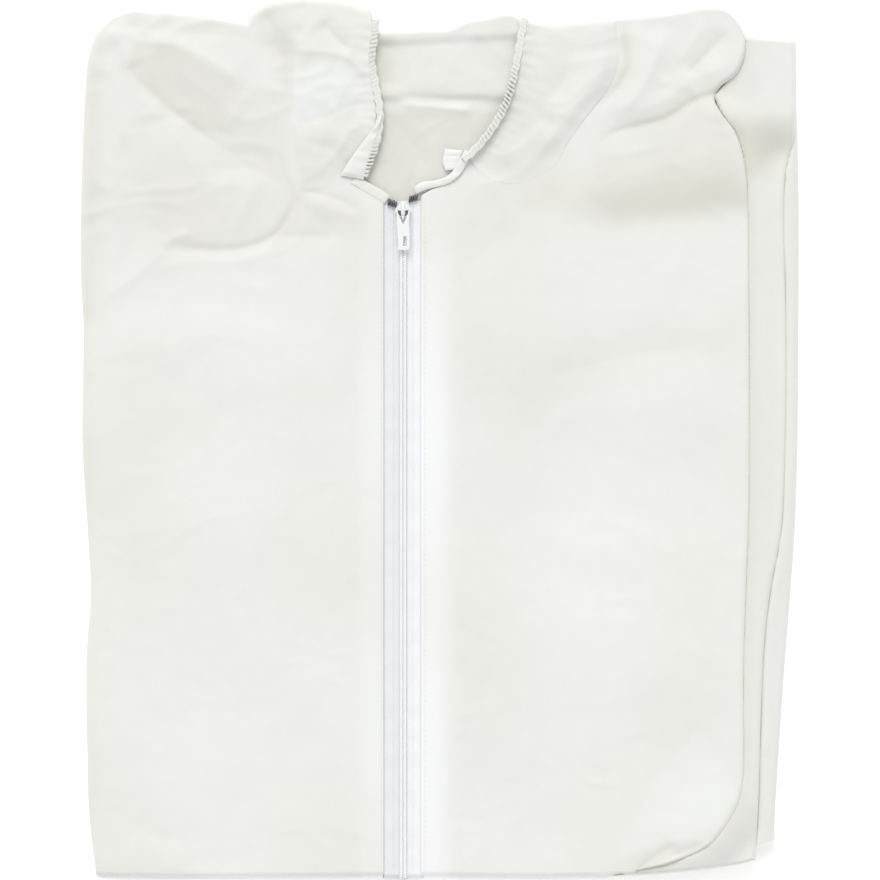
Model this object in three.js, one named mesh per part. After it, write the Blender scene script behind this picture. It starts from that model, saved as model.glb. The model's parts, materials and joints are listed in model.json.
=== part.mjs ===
// A disposable hooded coverall of thin non-woven cloth, folded flat for its packet.
// It lies on its back: +X is to the right of the front, +Y points to the hood, +Z is up.
// All sizes are in millimetres. The origin is the middle of the pack, on the surface it lies on.
// From the bottom up the pack is: lower legs, upper legs, folded sleeves, back, front, hood.
import * as THREE from "three";

// ---- the pack as a whole
const packWidth = 428;
const packLength = 528;
const zipX = -22; // the zip is sewn off the middle of the pack
const frontInset = 30; // the front stops this far short of the pack's right side
const hoodLength = 101; // from the line where the hood lifts to its top
const kneeInset = 21; // the legs' upper fold, below the hood's top
const shoulderInset = 13; // the shoulders' top edge, below the hood's top
const ankleInset = 18; // the trouser ends, above the pack's bottom edge

// ---- how the legs lie under the rest: the loose fold leans in on the right
const thighInset = { left: 6, right: 8 }; // from the pack's side
const shinInset = { left: 7, right: 0 };
const legLean = { left: 0, right: 7 }; // how far a leg's side leans in towards the bottom
const legLift = { left: 0, right: 12 }; // how far its bottom corner is drawn up

// ---- how thick each layer of folded cloth lies
const lowerLegHeight = 7;
const upperLegHeight = 8;
const sleeveHeight = 4;
const backHeight = 2;
const frontHeight = 3.3;
const hoodLeftHeight = 9;
const hoodRightHeight = 11;
const hoodBackHeight = 1.9;
const lobeRim = 1.5; // how far the hood lobes' rims are chamfered
const layerGap = 0.5; // air between two layers
const sewnGap = 0.3; // air between pieces sewn to each other
const foldGap = 0.6; // from a fold line to the cloth on each side of it

// ---- the zip
const tapeWidth = 11.4; // each half
const tapeHeight = 0.5;
const tapeSplit = 0.6; // from the zip's middle to each tape and coil
const coilWidth = 2;
const coilHeight = 1.8;
const crotchLength = 180; // zip below the hip fold
const stopLength = 3;
const stopWidth = 3;
const stopStagger = 3; // the right end of the zip stands higher than the left

// ---- the slider and its pull
const sliderLength = 9;
const sliderPlate = 1;
const sliderFlange = 1.2;
const sliderPost = 0.5;
const sliderPlay = 0.3; // air round the coils and tapes
const sliderRoom = 0.4; // more air at the sides, where the flanges pass
const bailWidth = 1.8;
const bailReach = 4; // half its length along the zip
const bailRise = 2.4;
const bailWire = 0.8;
const pullLength = 24;
const pullWidth = 7.6;
const pullHeight = 1.2;
const pullRingWidth = 5.4;
const pullBar = 0.9; // the bar that turns inside the bail
const pullSlotWidth = 2.6;
const pullSlotLength = 6;
const pullSlotEnd = 2.4; // metal left past the slot
const pullHolePast = 1; // the ring's hole goes this far past the bail
const pullLift = 0.2; // air between the slider and the pull lying on it
const pullNeckGap = 2; // from the swung-up pull's end to the line where the hood lifts
const zipPastSlider = 1; // tape above the closed slider

// ---- elastics
const faceElasticWidth = 5;
const faceElasticHeight = 3;
const waistElasticWidth = 8;
const waistElasticHeight = 0.7;
const waistAboveHip = 48;
const cuffElasticWidth = 6;
const wristOpening = 120;
const ankleOpening = 150;
const cuffElasticHeight = 1.4;
const ankleElasticHeight = 5;

// ---- sleeves, each folded in three and laid on the back
const sleeveTopDrop = 65; // below the shoulders' top edge
const sleeveMiddleGap = 10; // between the sleeve ends and the middle of the zip
const sleeveSwingRoom = 12; // keeps a sleeve above the legs while both swing out

// ---- places that follow from those sizes
const packLeft = -packWidth / 2;
const packRight = packWidth / 2;
const hoodTopY = packLength / 2;
const bottomY = -packLength / 2;
const hipY = bottomY - foldGap;
const neckY = hoodTopY - hoodLength;
const kneeY = hoodTopY - kneeInset;
const shoulderY = hoodTopY - shoulderInset;
const frontRight = packRight - frontInset;

const lowerLegTop = lowerLegHeight;
const upperLegBottom = lowerLegTop + layerGap;
const upperLegTop = upperLegBottom + upperLegHeight;
const sleeveBottom = upperLegTop + layerGap;
const sleeveTop = sleeveBottom + sleeveHeight;
const backBottom = sleeveTop + layerGap;
const backTop = backBottom + backHeight;
const frontBottom = backTop + layerGap;
const frontTop = frontBottom + frontHeight;
const hoodBottom = frontTop + sewnGap;

const lowerPlateBottom = backTop + sliderPlay;
const tapeBottom = lowerPlateBottom + sliderPlate + sliderPlay;
const tapeTop = tapeBottom + tapeHeight;
const coilBottom = tapeTop + sewnGap;
const coilTop = coilBottom + coilHeight;
const upperPlateBottom = coilTop + sliderPlay;
const upperPlateTop = upperPlateBottom + sliderPlate;
const pullHoleEnd = bailReach + pullHolePast;
const pivotZ = upperPlateTop + pullHeight / 2 + sewnGap + pullLift;
const pivotY = neckY - pullLength - pullNeckGap;
const zipEdge = tapeSplit + tapeWidth + sewnGap; // from the zip's middle to the cloth
const zipTopY = pivotY + sliderLength / 2 + zipPastSlider;

// ---- finishes
const finish = (color, roughness, metalness = 0) =>
  new THREE.MeshStandardMaterial({ color, roughness, metalness });
const cloth = finish(0xf0f1ec, 0.85);
const tapeCloth = finish(0xe6eaec, 0.8);
const nylon = finish(0xdfe5e8, 0.45);
const enamel = finish(0xe8ebec, 0.35);
const stopMetal = finish(0x8a8d8f, 0.35, 1);
const elasticThread = finish(0xe4e0d2, 0.9);

const suit = new THREE.Group();

// A closed outline through corners given as [x, y, reach], where reach is how far along both
// sides the rounding of that corner starts.
function roundedOutline(corners) {
  const outline = new THREE.Shape();
  corners.forEach(([x, y, reach = 0], index) => {
    const corner = new THREE.Vector2(x, y);
    const towards = (other) => {
      const end = new THREE.Vector2(other[0], other[1]);
      const share = Math.min(reach / corner.distanceTo(end), 0.5);
      return corner.clone().lerp(end, share);
    };
    const before = towards(corners.at(index - 1));
    const after = towards(corners[(index + 1) % corners.length]);
    if (index === 0) {
      outline.moveTo(before.x, before.y);
    } else {
      outline.lineTo(before.x, before.y);
    }
    if (reach > 0) {
      outline.quadraticCurveTo(x, y, after.x, after.y);
    }
  });
  outline.closePath();
  return outline;
}

function rectangle(left, right, low, high) {
  return roundedOutline([[left, low], [right, low], [right, high], [left, high]]);
}

function add(name, geometry, material, z = 0) {
  const mesh = new THREE.Mesh(geometry, material.clone());
  mesh.name = name;
  mesh.position.z = z;
  suit.add(mesh);
}

// A flat layer with the given outline, between two heights.
function addLayer(name, outline, bottom, top, material) {
  const depth = top - bottom;
  const geometry = new THREE.ExtrudeGeometry(outline, { depth, bevelEnabled: false, curveSegments: 5 });
  add(name, geometry, material, bottom);
}

// A soft lobe: a layer whose rim is chamfered above and below.
function addLobe(name, outline, bottom, top, material) {
  const rise = (top - bottom) / 3;
  const geometry = new THREE.ExtrudeGeometry(outline, {
    depth: rise,
    bevelThickness: rise,
    bevelSize: lobeRim,
    bevelOffset: -lobeRim,
    bevelSegments: 1,
    curveSegments: 3,
  });
  add(name, geometry, material, bottom + rise);
}

// A point given from the zip's middle and the hood's lift line.
const atNeck = ([x, y, reach = 0]) => [zipX + x, neckY + y, reach];
const shifted = (points, x) => points.map(([px, py, reach = 0]) => [px + x, py, reach]);

// ---- the neckline of the front, from the zip up to the shoulder, on each side
const neckLeft = [[-zipEdge, zipTopY - neckY], [-26, 0], [-38, 27], [-44, 83]].map(atNeck);
const neckRight = [[zipEdge, zipTopY - neckY], [34, 0], [60, 27], [74, 83]].map(atNeck);

// The left side of the torso wanders a little, as loosely folded cloth does.
const leftSide = [
  [packLeft + 11, shoulderY - 9, 14],
  [packLeft, shoulderY - 110, 40],
  [packLeft, shoulderY - 180, 30],
  [packLeft + 5, hipY + 190, 60],
  [packLeft + 3.5, hipY + 110, 40],
  [packLeft + 10, hipY + foldGap, 9],
];
const rightShoulder = [
  [frontRight - 22, hoodTopY - 4, 12],
  [frontRight - 1, hoodTopY - 22, 16],
  [frontRight - 4, hoodTopY - 52, 14],
  [frontRight - 22, hoodTopY - 60, 8],
];
const rightSide = [
  [frontRight - 18, neckY + 22, 8],
  [frontRight, neckY + 10, 18],
  [frontRight, 0, 60],
  [frontRight - 4, hipY + 110, 60],
  [frontRight - 3, hipY + 42, 22],
  [frontRight - 52, hipY + foldGap, 40],
];

addLayer(
  "front_panel_left",
  roundedOutline([
    [zipX - zipEdge, hipY + foldGap],
    ...neckLeft,
    [packLeft + 41, shoulderY + 2, 12],
    ...leftSide,
  ]),
  frontBottom,
  frontTop,
  cloth,
);
addLayer(
  "front_panel_right",
  roundedOutline([
    [zipX + zipEdge, hipY + foldGap],
    ...neckRight,
    ...rightShoulder,
    ...rightSide,
  ]),
  frontBottom,
  frontTop,
  cloth,
);
addLayer(
  "back_panel",
  roundedOutline([
    [packLeft + 41, shoulderY + 2, 12],
    neckLeft.at(-1),
    neckRight.at(-1),
    ...rightShoulder,
    ...rightSide,
    ...leftSide.toReversed(),
  ]),
  backBottom,
  backTop,
  cloth,
);
addLayer(
  "waist_elastic",
  rectangle(
    packLeft + 16,
    frontRight - 10,
    hipY + waistAboveHip,
    hipY + waistAboveHip + waistElasticWidth,
  ),
  backBottom - sewnGap - waistElasticHeight,
  backBottom - sewnGap,
  elasticThread,
);

// ---- the hood: two side lobes, the back between them, and an elastic along each front edge
const leftFrontEdge = [[-15, 83], [-18, 65], [-16, 47], [-12, 35], [-16, 17], [-22, 2]].map(atNeck);
const rightFrontEdge = [[36, 2], [44, 14], [53, 26], [60, 41], [66, 65], [69, 87]].map(atNeck);
const elasticBand = (edge, width) =>
  roundedOutline([...edge, ...shifted(edge, width).toReversed()]);
const lobeSet = faceElasticWidth + sewnGap;

addLobe(
  "hood_left",
  roundedOutline([
    ...shifted(leftFrontEdge, -lobeSet),
    ...[[-62, 2, 12], [-66, 40], [-66, 78, 4], [-91, 85, 7], [-76, hoodLength, 18]].map(atNeck),
    ...[[-28, hoodLength, 18]].map(atNeck),
  ]),
  hoodBottom,
  hoodBottom + hoodLeftHeight,
  cloth,
);
addLobe(
  "hood_right",
  roundedOutline([
    ...shifted(rightFrontEdge, lobeSet),
    ...[[145, 90, 10], [136, 65, 6], [118, 38, 10], [101, 14, 10], [88, 2, 6]].map(atNeck),
  ]),
  hoodBottom,
  hoodBottom + hoodRightHeight,
  cloth,
);
addLayer(
  "hood_back",
  roundedOutline([
    [neckLeft[1][0] + layerGap * 2, neckY + foldGap],
    ...shifted(neckLeft.slice(2), layerGap * 2),
    ...shifted(neckRight.slice(2).toReversed(), -layerGap * 2),
    [neckRight[1][0] - layerGap * 2, neckY + foldGap],
  ]),
  frontBottom,
  frontBottom + hoodBackHeight,
  cloth,
);
addLayer(
  "face_elastic_left",
  elasticBand(leftFrontEdge, -faceElasticWidth),
  hoodBottom,
  hoodBottom + faceElasticHeight,
  elasticThread,
);
addLayer(
  "face_elastic_right",
  elasticBand(rightFrontEdge, faceElasticWidth),
  hoodBottom,
  hoodBottom + faceElasticHeight,
  elasticThread,
);

// ---- what comes in a left and a right copy: side is -1 on the left and 1 on the right
for (const [word, side] of [["left", -1], ["right", 1]]) {
  const beside = (near, far) => {
    const edges = [zipX + side * near, zipX + side * far];
    return [Math.min(...edges), Math.max(...edges)];
  };

  // The upper part of the zip, along the front.
  const frontZip = [hipY + foldGap, zipTopY];
  addLayer(
    `zip_tape_${word}`,
    rectangle(...beside(tapeSplit, tapeSplit + tapeWidth), ...frontZip),
    tapeBottom,
    tapeTop,
    tapeCloth,
  );
  addLayer(
    `zip_coil_${word}`,
    rectangle(...beside(tapeSplit, tapeSplit + coilWidth), ...frontZip),
    coilBottom,
    coilTop,
    nylon,
  );
  const stopLow = zipTopY - stopLength + (side > 0 ? stopStagger : 0);
  const stopNear = tapeSplit + coilWidth + sliderPlay + sliderRoom + sliderFlange + sliderPlay;
  addLayer(
    `top_stop_${word}`,
    rectangle(...beside(stopNear, stopNear + stopWidth), stopLow, stopLow + stopLength),
    coilBottom,
    coilBottom + coilHeight,
    stopMetal,
  );

  // The lower part of the zip faces down, on the far side of the hip fold.
  const crotchY = hipY + crotchLength;
  const lowerZip = [hipY + foldGap, crotchY];
  const lowerCoilBottom = upperLegBottom + sewnGap;
  const lowerTapeBottom = lowerCoilBottom + coilHeight + sewnGap;
  addLayer(
    `lower_zip_tape_${word}`,
    rectangle(...beside(tapeSplit, tapeSplit + tapeWidth), ...lowerZip),
    lowerTapeBottom,
    lowerTapeBottom + tapeHeight,
    tapeCloth,
  );
  addLayer(
    `lower_zip_coil_${word}`,
    rectangle(...beside(tapeSplit, tapeSplit + coilWidth), ...lowerZip),
    lowerCoilBottom,
    lowerCoilBottom + coilHeight,
    nylon,
  );

  // The legs: the upper leg leaves room for the zip up to the crotch.
  const upperLegSide = side * (packWidth / 2 - thighInset[word]);
  const lowerLegSide = side * (packWidth / 2 - shinInset[word]);
  const lean = legLean[word];
  const lift = legLift[word];
  addLayer(
    `thigh_${word}`,
    roundedOutline([
      [zipX + side * zipEdge, hipY + foldGap],
      [zipX + side * zipEdge, crotchY + layerGap + stopLength],
      [zipX + side * tapeSplit, crotchY + layerGap + stopLength + tapeWidth],
      [zipX + side * tapeSplit, kneeY - foldGap],
      [upperLegSide, kneeY - foldGap, 5],
      [upperLegSide, hipY + 200],
      [upperLegSide - lean, hipY + 14 + lift, 8],
      [upperLegSide - side * 26, hipY + foldGap + lift, 10],
      [upperLegSide - side * 80, hipY + foldGap],
    ]),
    upperLegBottom,
    upperLegTop,
    cloth,
  );
  addLayer(
    `shin_${word}`,
    roundedOutline([
      [zipX + side * tapeSplit, hipY + ankleInset],
      [zipX + side * tapeSplit, kneeY - foldGap],
      [lowerLegSide, kneeY - foldGap, 4],
      [lowerLegSide, hipY + 200],
      [lowerLegSide - lean * 2, hipY + ankleInset, 8],
    ]),
    0,
    lowerLegTop,
    cloth,
  );
  const legMiddle = (zipX + lowerLegSide - lean) / 2;
  const ankleBottom = (lowerLegHeight - ankleElasticHeight) / 2;
  addLayer(
    `ankle_elastic_${word}`,
    rectangle(
      legMiddle - ankleOpening / 2,
      legMiddle + ankleOpening / 2,
      hipY + ankleInset - sewnGap - cuffElasticWidth,
      hipY + ankleInset - sewnGap,
    ),
    ankleBottom,
    ankleBottom + ankleElasticHeight,
    elasticThread,
  );

  // The sleeve hangs on the torso's side edge and reaches in towards the zip.
  const sleeveOuter = (side < 0 ? packLeft : frontRight) - side * foldGap / 2;
  const sleeveInner = zipX + side * (sleeveMiddleGap + cuffElasticWidth);
  const sleeveReach = Math.abs(sleeveOuter - sleeveInner) + cuffElasticWidth;
  const sleeveHigh = shoulderY - sleeveTopDrop;
  const sleeveLow = hipY + sleeveReach + sleeveSwingRoom;
  addLayer(
    `sleeve_${word}`,
    roundedOutline([
      [sleeveOuter, sleeveLow, 6],
      [sleeveOuter, sleeveHigh, 6],
      [sleeveInner, sleeveHigh, 6],
      [sleeveInner, sleeveLow, 6],
    ]),
    sleeveBottom,
    sleeveTop,
    cloth,
  );
  const wristMiddle = (sleeveLow + sleeveHigh) / 2;
  const wristEdges = [
    sleeveInner - side * sewnGap,
    sleeveInner - side * (sewnGap + cuffElasticWidth),
  ];
  addLayer(
    `wrist_elastic_${word}`,
    rectangle(
      Math.min(...wristEdges),
      Math.max(...wristEdges),
      wristMiddle - wristOpening / 2,
      wristMiddle + wristOpening / 2,
    ),
    sleeveBottom + sewnGap,
    sleeveBottom + sewnGap + cuffElasticHeight,
    elasticThread,
  );
}

addLayer(
  "bottom_stop",
  rectangle(
    zipX - tapeSplit - coilWidth,
    zipX + tapeSplit + coilWidth,
    hipY + crotchLength + sewnGap,
    hipY + crotchLength + sewnGap + stopLength,
  ),
  upperLegBottom + sewnGap,
  upperLegBottom + sewnGap + coilHeight,
  stopMetal,
);

// ---- the slider: two plates joined by a post that runs between the two coils
function sliderSection() {
  const half = tapeSplit + coilWidth + sliderPlay + sliderRoom + sliderFlange;
  const inside = half - sliderFlange;
  const post = sliderPost / 2;
  const lowerPlateTop = lowerPlateBottom + sliderPlate;
  const flangeBottom = tapeTop + sliderPlay;
  const rightHalf = [
    [half, lowerPlateBottom],
    [half, lowerPlateTop],
    [post, lowerPlateTop],
    [post, upperPlateBottom],
    [inside, upperPlateBottom],
    [inside, flangeBottom],
    [half, flangeBottom],
    [half, upperPlateTop],
  ];
  const leftHalf = rightHalf.toReversed().map(([x, z]) => [-x, z]);
  return roundedOutline([...rightHalf, ...leftHalf]);
}

// Stands an outline drawn in x and z along Y, centred on the given y.
function extrudeAlongY(outline, length, x, y) {
  const geometry = new THREE.ExtrudeGeometry(outline, { depth: length, bevelEnabled: false });
  geometry.rotateX(Math.PI / 2);
  geometry.translate(x, y + length / 2, 0);
  return geometry;
}
add("slider_body", extrudeAlongY(sliderSection(), sliderLength, zipX, pivotY), enamel);

// The bail is an arch of flat wire that stands on the slider and holds the pull.
function bailGeometry() {
  const arch = new THREE.Shape();
  const rise = bailRise;
  arch.moveTo(-bailReach, 0);
  arch.lineTo(-bailReach, rise / 2);
  arch.quadraticCurveTo(-bailReach, rise, 0, rise);
  arch.quadraticCurveTo(bailReach, rise, bailReach, rise / 2);
  arch.lineTo(bailReach, 0);
  arch.lineTo(bailReach - bailWire, 0);
  arch.lineTo(bailReach - bailWire, rise / 2);
  arch.quadraticCurveTo(bailReach - bailWire, rise - bailWire, 0, rise - bailWire);
  arch.quadraticCurveTo(bailWire - bailReach, rise - bailWire, bailWire - bailReach, rise / 2);
  arch.lineTo(bailWire - bailReach, 0);
  arch.closePath();
  const extrusion = { depth: bailWidth, bevelEnabled: false, curveSegments: 4 };
  const geometry = new THREE.ExtrudeGeometry(arch, extrusion);
  geometry.rotateX(Math.PI / 2);
  geometry.rotateZ(Math.PI / 2);
  geometry.translate(zipX - bailWidth / 2, pivotY, upperPlateTop + sewnGap);
  return geometry;
}
add("slider_bail", bailGeometry(), enamel);

// The pull is a flat tab. Its ring goes round the bail, and its far end has a slot.
function pullGeometry() {
  const ring = pullRingWidth / 2;
  const half = pullWidth / 2;
  const bar = pullBar / 2;
  const shape = roundedOutline([
    [-ring, bar, 0.5],
    [ring, bar, 0.5],
    [ring, -pullHoleEnd, 0.8],
    [half, -pullHoleEnd - 3, 0.8],
    [half - 0.6, -pullLength, 1.4],
    [-half + 0.6, -pullLength, 1.4],
    [-half, -pullHoleEnd - 3, 0.8],
    [-ring, -pullHoleEnd, 0.8],
  ]);
  const ringHole = bailWidth / 2 + sewnGap;
  const slot = pullSlotWidth / 2;
  const slotLow = -pullLength + pullSlotEnd;
  shape.holes.push(rectangle(-ringHole, ringHole, -pullHoleEnd, -bar));
  shape.holes.push(rectangle(-slot, slot, slotLow, slotLow + pullSlotLength));
  const extrusion = { depth: pullHeight, bevelEnabled: false, curveSegments: 4 };
  const geometry = new THREE.ExtrudeGeometry(shape, extrusion);
  geometry.translate(zipX, pivotY, pivotZ - pullHeight / 2);
  return geometry;
}
add("pull_tab", pullGeometry(), enamel);

export default suit;
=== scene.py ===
import json
import math

import bpy
import numpy as np
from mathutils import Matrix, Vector


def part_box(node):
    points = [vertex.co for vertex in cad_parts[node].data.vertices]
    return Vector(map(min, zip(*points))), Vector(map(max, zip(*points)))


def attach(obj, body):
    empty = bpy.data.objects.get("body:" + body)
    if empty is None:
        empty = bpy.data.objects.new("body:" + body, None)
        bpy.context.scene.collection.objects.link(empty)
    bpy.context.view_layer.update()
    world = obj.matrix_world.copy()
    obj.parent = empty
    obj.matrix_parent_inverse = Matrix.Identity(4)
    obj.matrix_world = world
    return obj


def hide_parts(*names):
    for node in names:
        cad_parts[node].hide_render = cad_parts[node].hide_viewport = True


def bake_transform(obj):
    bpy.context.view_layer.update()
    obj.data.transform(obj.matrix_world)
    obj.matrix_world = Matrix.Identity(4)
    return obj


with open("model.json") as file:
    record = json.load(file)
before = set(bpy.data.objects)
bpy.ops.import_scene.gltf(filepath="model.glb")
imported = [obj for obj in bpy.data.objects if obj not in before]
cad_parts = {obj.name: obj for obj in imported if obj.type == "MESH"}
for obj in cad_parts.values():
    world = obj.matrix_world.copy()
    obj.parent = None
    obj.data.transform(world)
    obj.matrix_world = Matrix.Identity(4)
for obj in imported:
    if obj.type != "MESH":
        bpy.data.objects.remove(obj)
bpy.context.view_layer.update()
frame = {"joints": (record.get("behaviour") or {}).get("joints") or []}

MM = 0.001


# ---------------------------------------------------------------- places taken from the frame
def box(node):
    """A CAD part's lowest and highest corner, in mm."""
    low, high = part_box(node)
    return np.array(low) / MM, np.array(high) / MM


def both(stem):
    """The boxes of a pair of CAD parts, by side."""
    return {side: box(f"{stem}_{side}") for side in ("left", "right")}


def pivot(joint_name):
    """Where a joint's axis passes, in mm."""
    joint = next(j for j in frame["joints"] if j["name"] == joint_name)
    return np.array(joint["pos_m"]) / MM


FRONT_LEFT = box("front_panel_left")
FRONT_RIGHT = box("front_panel_right")
BACK = box("back_panel")
THIGH, SHIN, SLEEVE, HOOD = both("thigh"), both("shin"), both("sleeve"), both("hood")
TAPE, COIL = both("zip_tape"), both("zip_coil")
LOWER_TAPE, LOWER_COIL = both("lower_zip_tape"), both("lower_zip_coil")
SLIDER, BAIL, PULL = box("slider_body"), box("slider_bail"), box("pull_tab")

ZIP_X = (SLIDER[0][0] + SLIDER[1][0]) / 2
LEFT_X = FRONT_LEFT[0][0]
RIGHT_X = FRONT_RIGHT[1][0]
BOTTOM_Y = FRONT_LEFT[0][1]
ZIP_TOP_Y = TAPE["left"][1][1]
NECK_Y = pivot("hood_lift")[1]
KNEE_Y = pivot("knee_fold_left")[1]
FRONT_Z = FRONT_LEFT[1][2] - 1.0
RIGHT_RIM_Z = FRONT_Z - 2.6         # where the front's right rim rests on the folded legs
UNDER_Z = THIGH["left"][0][2] - 0.25
SIDES = {"left": -1, "right": 1}
EDGES = ("left", "right", "bottom", "top")


def bend(y, high_z, low_z, low_y=None):
    """Where a blend starts and ends: from y and high_z to low_y and low_z, given in mm."""
    return dict(start=(0, y * MM, high_z * MM), end=(0, (y if low_y is None else low_y) * MM, low_z * MM))


# for pieces that span each fold: the two bodies and the stretch between them
HIP = ("torso", "upper_legs", bend(BOTTOM_Y, FRONT_Z - 3, UNDER_Z + 3))
ZIP_BEND_Z = (22, 11)       # just inside the zip's tape on the front and under the fold
ZIP_HIP = ("torso", "upper_legs", bend(BOTTOM_Y, *ZIP_BEND_Z))
NECK = ("torso", "hood", bend(NECK_Y - 13, 0, 0, NECK_Y + 15))


# ---------------------------------------------------------------- small tools
def ease(t):
    """0 up to t = 0 and 1 from t = 1, with a smooth change between."""
    t = np.clip(t, 0, 1)
    return t * t * (3 - 2 * t)


def bump(distance, width):
    """1 where the distance is 0, falling away smoothly over about `width` to both sides."""
    return np.exp(-((distance / width) ** 2))


def waves(x, y, size, seed, count=16):
    """A smooth random relief of about unit height, with bumps about `size` mm across."""
    draw = np.random.default_rng(seed)
    total = np.zeros(np.broadcast(x, y).shape)
    for _ in range(count):
        angle = draw.uniform(0, 2 * math.pi)
        turn = math.pi / (size * draw.uniform(0.6, 1.5))
        total += np.sin((x * math.cos(angle) + y * math.sin(angle)) * turn + draw.uniform(0, 6.3))
    return total * math.sqrt(2 / count)


def crumple(x, y, size, seed):
    """The relief of crushed thin cloth: flat facets that meet at fairly sharp folds."""
    bent_x = x + size * 0.3 * waves(x, y, size * 1.4, seed + 1, 8)
    bent_y = y + size * 0.3 * waves(x, y, size * 1.4, seed + 2, 8)
    coarse = np.abs(waves(bent_x, bent_y, size, seed + 3, 6))
    fine = np.abs(waves(bent_x, bent_y, size * 0.55, seed + 4, 6))
    return 0.8 - coarse + 0.4 * (0.8 - fine)


def cubic(a, b, slope_a, slope_b, t):
    """The smooth curve from a to b that leaves and arrives with the given slopes."""
    return (
        a * (2 * t**3 - 3 * t**2 + 1)
        + slope_a * (t**3 - 2 * t**2 + t)
        + b * (3 * t**2 - 2 * t**3)
        + slope_b * (t**3 - t**2)
    )


def smooth_path(points, count):
    """Evenly spaced points on a smooth curve through the given ones."""
    points = np.array(points, float)
    if len(points) < 3:
        return points[0] + (points[-1] - points[0]) * np.linspace(0, 1, count)[:, None]
    steps = np.sqrt(np.linalg.norm(np.diff(points, axis=0), axis=1))
    knots = np.concatenate([[0], np.cumsum(steps)])
    slopes = np.gradient(points, knots, axis=0)
    dense = []
    for i in range(len(points) - 1):
        t = np.linspace(0, 1, 24, endpoint=i == len(points) - 2)[:, None]
        span = knots[i + 1] - knots[i]
        dense.append(cubic(points[i], points[i + 1], slopes[i] * span, slopes[i + 1] * span, t))
    return even(np.concatenate(dense), np.linspace(0, 1, count))


def lengths_along(path):
    """How far along a path each of its points lies."""
    return np.concatenate([[0], np.cumsum(np.linalg.norm(np.diff(path, axis=0), axis=1))])


def even(path, shares):
    """Points at the given shares of a path's length."""
    along = lengths_along(path)
    at = shares * along[-1]
    return np.stack([np.interp(at, along, path[:, k]) for k in range(path.shape[1])], 1)


def to_path(path, x, y):
    """For each point: distance to a path, signed with + on its left, and the share along it."""
    best = np.full(x.shape, 1e9)
    side = np.zeros(x.shape)
    share = np.zeros(x.shape)
    along = lengths_along(path)
    for i in range(len(path) - 1):
        a, b = path[i], path[i + 1]
        d = b - a
        long = max(float(d @ d), 1e-12)
        t = np.clip(((x - a[0]) * d[0] + (y - a[1]) * d[1]) / long, 0, 1)
        dx, dy = x - a[0] - t * d[0], y - a[1] - t * d[1]
        far = np.hypot(dx, dy)
        near = far < best
        best = np.where(near, far, best)
        side = np.where(near, np.sign(d[0] * dy - d[1] * dx), side)
        share = np.where(near, (along[i] + t * math.sqrt(long)) / along[-1], share)
    return best, side, share


def shifted(points, x, y):
    """The given points, moved by x and y, as a list."""
    return [(x + a, y + b) for a, b in points]


def fold(x, y, points, height, left, right, sharp):
    """A raised or sunk fold along a path, falling away over `left` and `right` mm beside it."""
    path = smooth_path(points, 24)
    reach = 3.2 * max(left, right)
    low, high = path.min(0) - reach, path.max(0) + reach
    out = np.zeros(x.shape)
    near = (x > low[0]) & (x < high[0]) & (y > low[1]) & (y < high[1])
    if not near.any():
        return out
    distance, side, share = to_path(path, x[near], y[near])
    width = np.where(side > 0, left, right)
    ends = ease(np.minimum(share, 1 - share) / 0.22)
    out[near] = height * ends * np.exp(-((distance / width) ** sharp))
    return out


def inside(corners, x, y, soft):
    """1 within a many-cornered region and 0 outside it, changing over about `soft` mm."""
    corners = np.array(corners, float)
    within = np.zeros(x.shape, bool)
    for a, b in zip(corners, np.roll(corners, -1, axis=0)):
        rise = b[1] - a[1] if abs(b[1] - a[1]) > 1e-9 else 1e-9
        crosses = (a[1] > y) != (b[1] > y)
        within ^= crosses & (x < a[0] + (y - a[1]) * (b[0] - a[0]) / rise)
    distance = to_path(np.concatenate([corners, corners[:1]]), x, y)[0]
    return ease(0.5 + np.where(within, 0.5, -0.5) * distance / soft)


def dimmed(tone, x, y, shades):
    """A tone with painted shade laid within each of the regions in a table of corners, depth and softness;
    a negative depth paints light.
    """
    for corners, depth, soft in shades:
        tone = tone - depth * inside(corners, x, y, soft)
    return tone


def folded(z, x, y, folds):
    """A height with each of the folds in a table added to it."""
    for points, height, left, right, sharp in folds:
        z = z + fold(x, y, points, height, left, right, sharp)
    return z


def spacing(length, step):
    """Shares from 0 to 1, about `step` mm apart, and closer near both ends."""
    rim = np.array([0, 0.12, 0.35, 0.7, 1.2, 1.8, 2.6, 3.6, 4.8])
    middle = np.linspace(6.2, length - 6.2, max(3, int((length - 12) / step)))
    return np.concatenate([rim, middle, length - rim[::-1]]) / length


def coons(left, right, bottom, top, across, along):
    """A flat grid of points that fills the space between four edges."""
    edge_left, edge_right = even(left, along), even(right, along)
    edge_low, edge_high = even(bottom, across), even(top, across)
    u, v = across[None, :, None], along[:, None, None]
    corners = (
        (1 - u) * (1 - v) * edge_low[0]
        + u * (1 - v) * edge_low[-1]
        + (1 - u) * v * edge_high[0]
        + u * v * edge_high[-1]
    )
    return (
        (1 - u) * edge_left[:, None]
        + u * edge_right[:, None]
        + (1 - v) * edge_low[None]
        + v * edge_high[None]
        - corners
    )


def grid_faces(rows, columns, flip):
    """The quads between rows of points, turned over if asked."""
    at = np.arange(rows * columns).reshape(rows, columns)
    faces = np.stack([at[:-1, :-1], at[:-1, 1:], at[1:, 1:], at[1:, :-1]], -1).reshape(-1, 4)
    return faces[:, ::-1] if flip else faces


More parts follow.
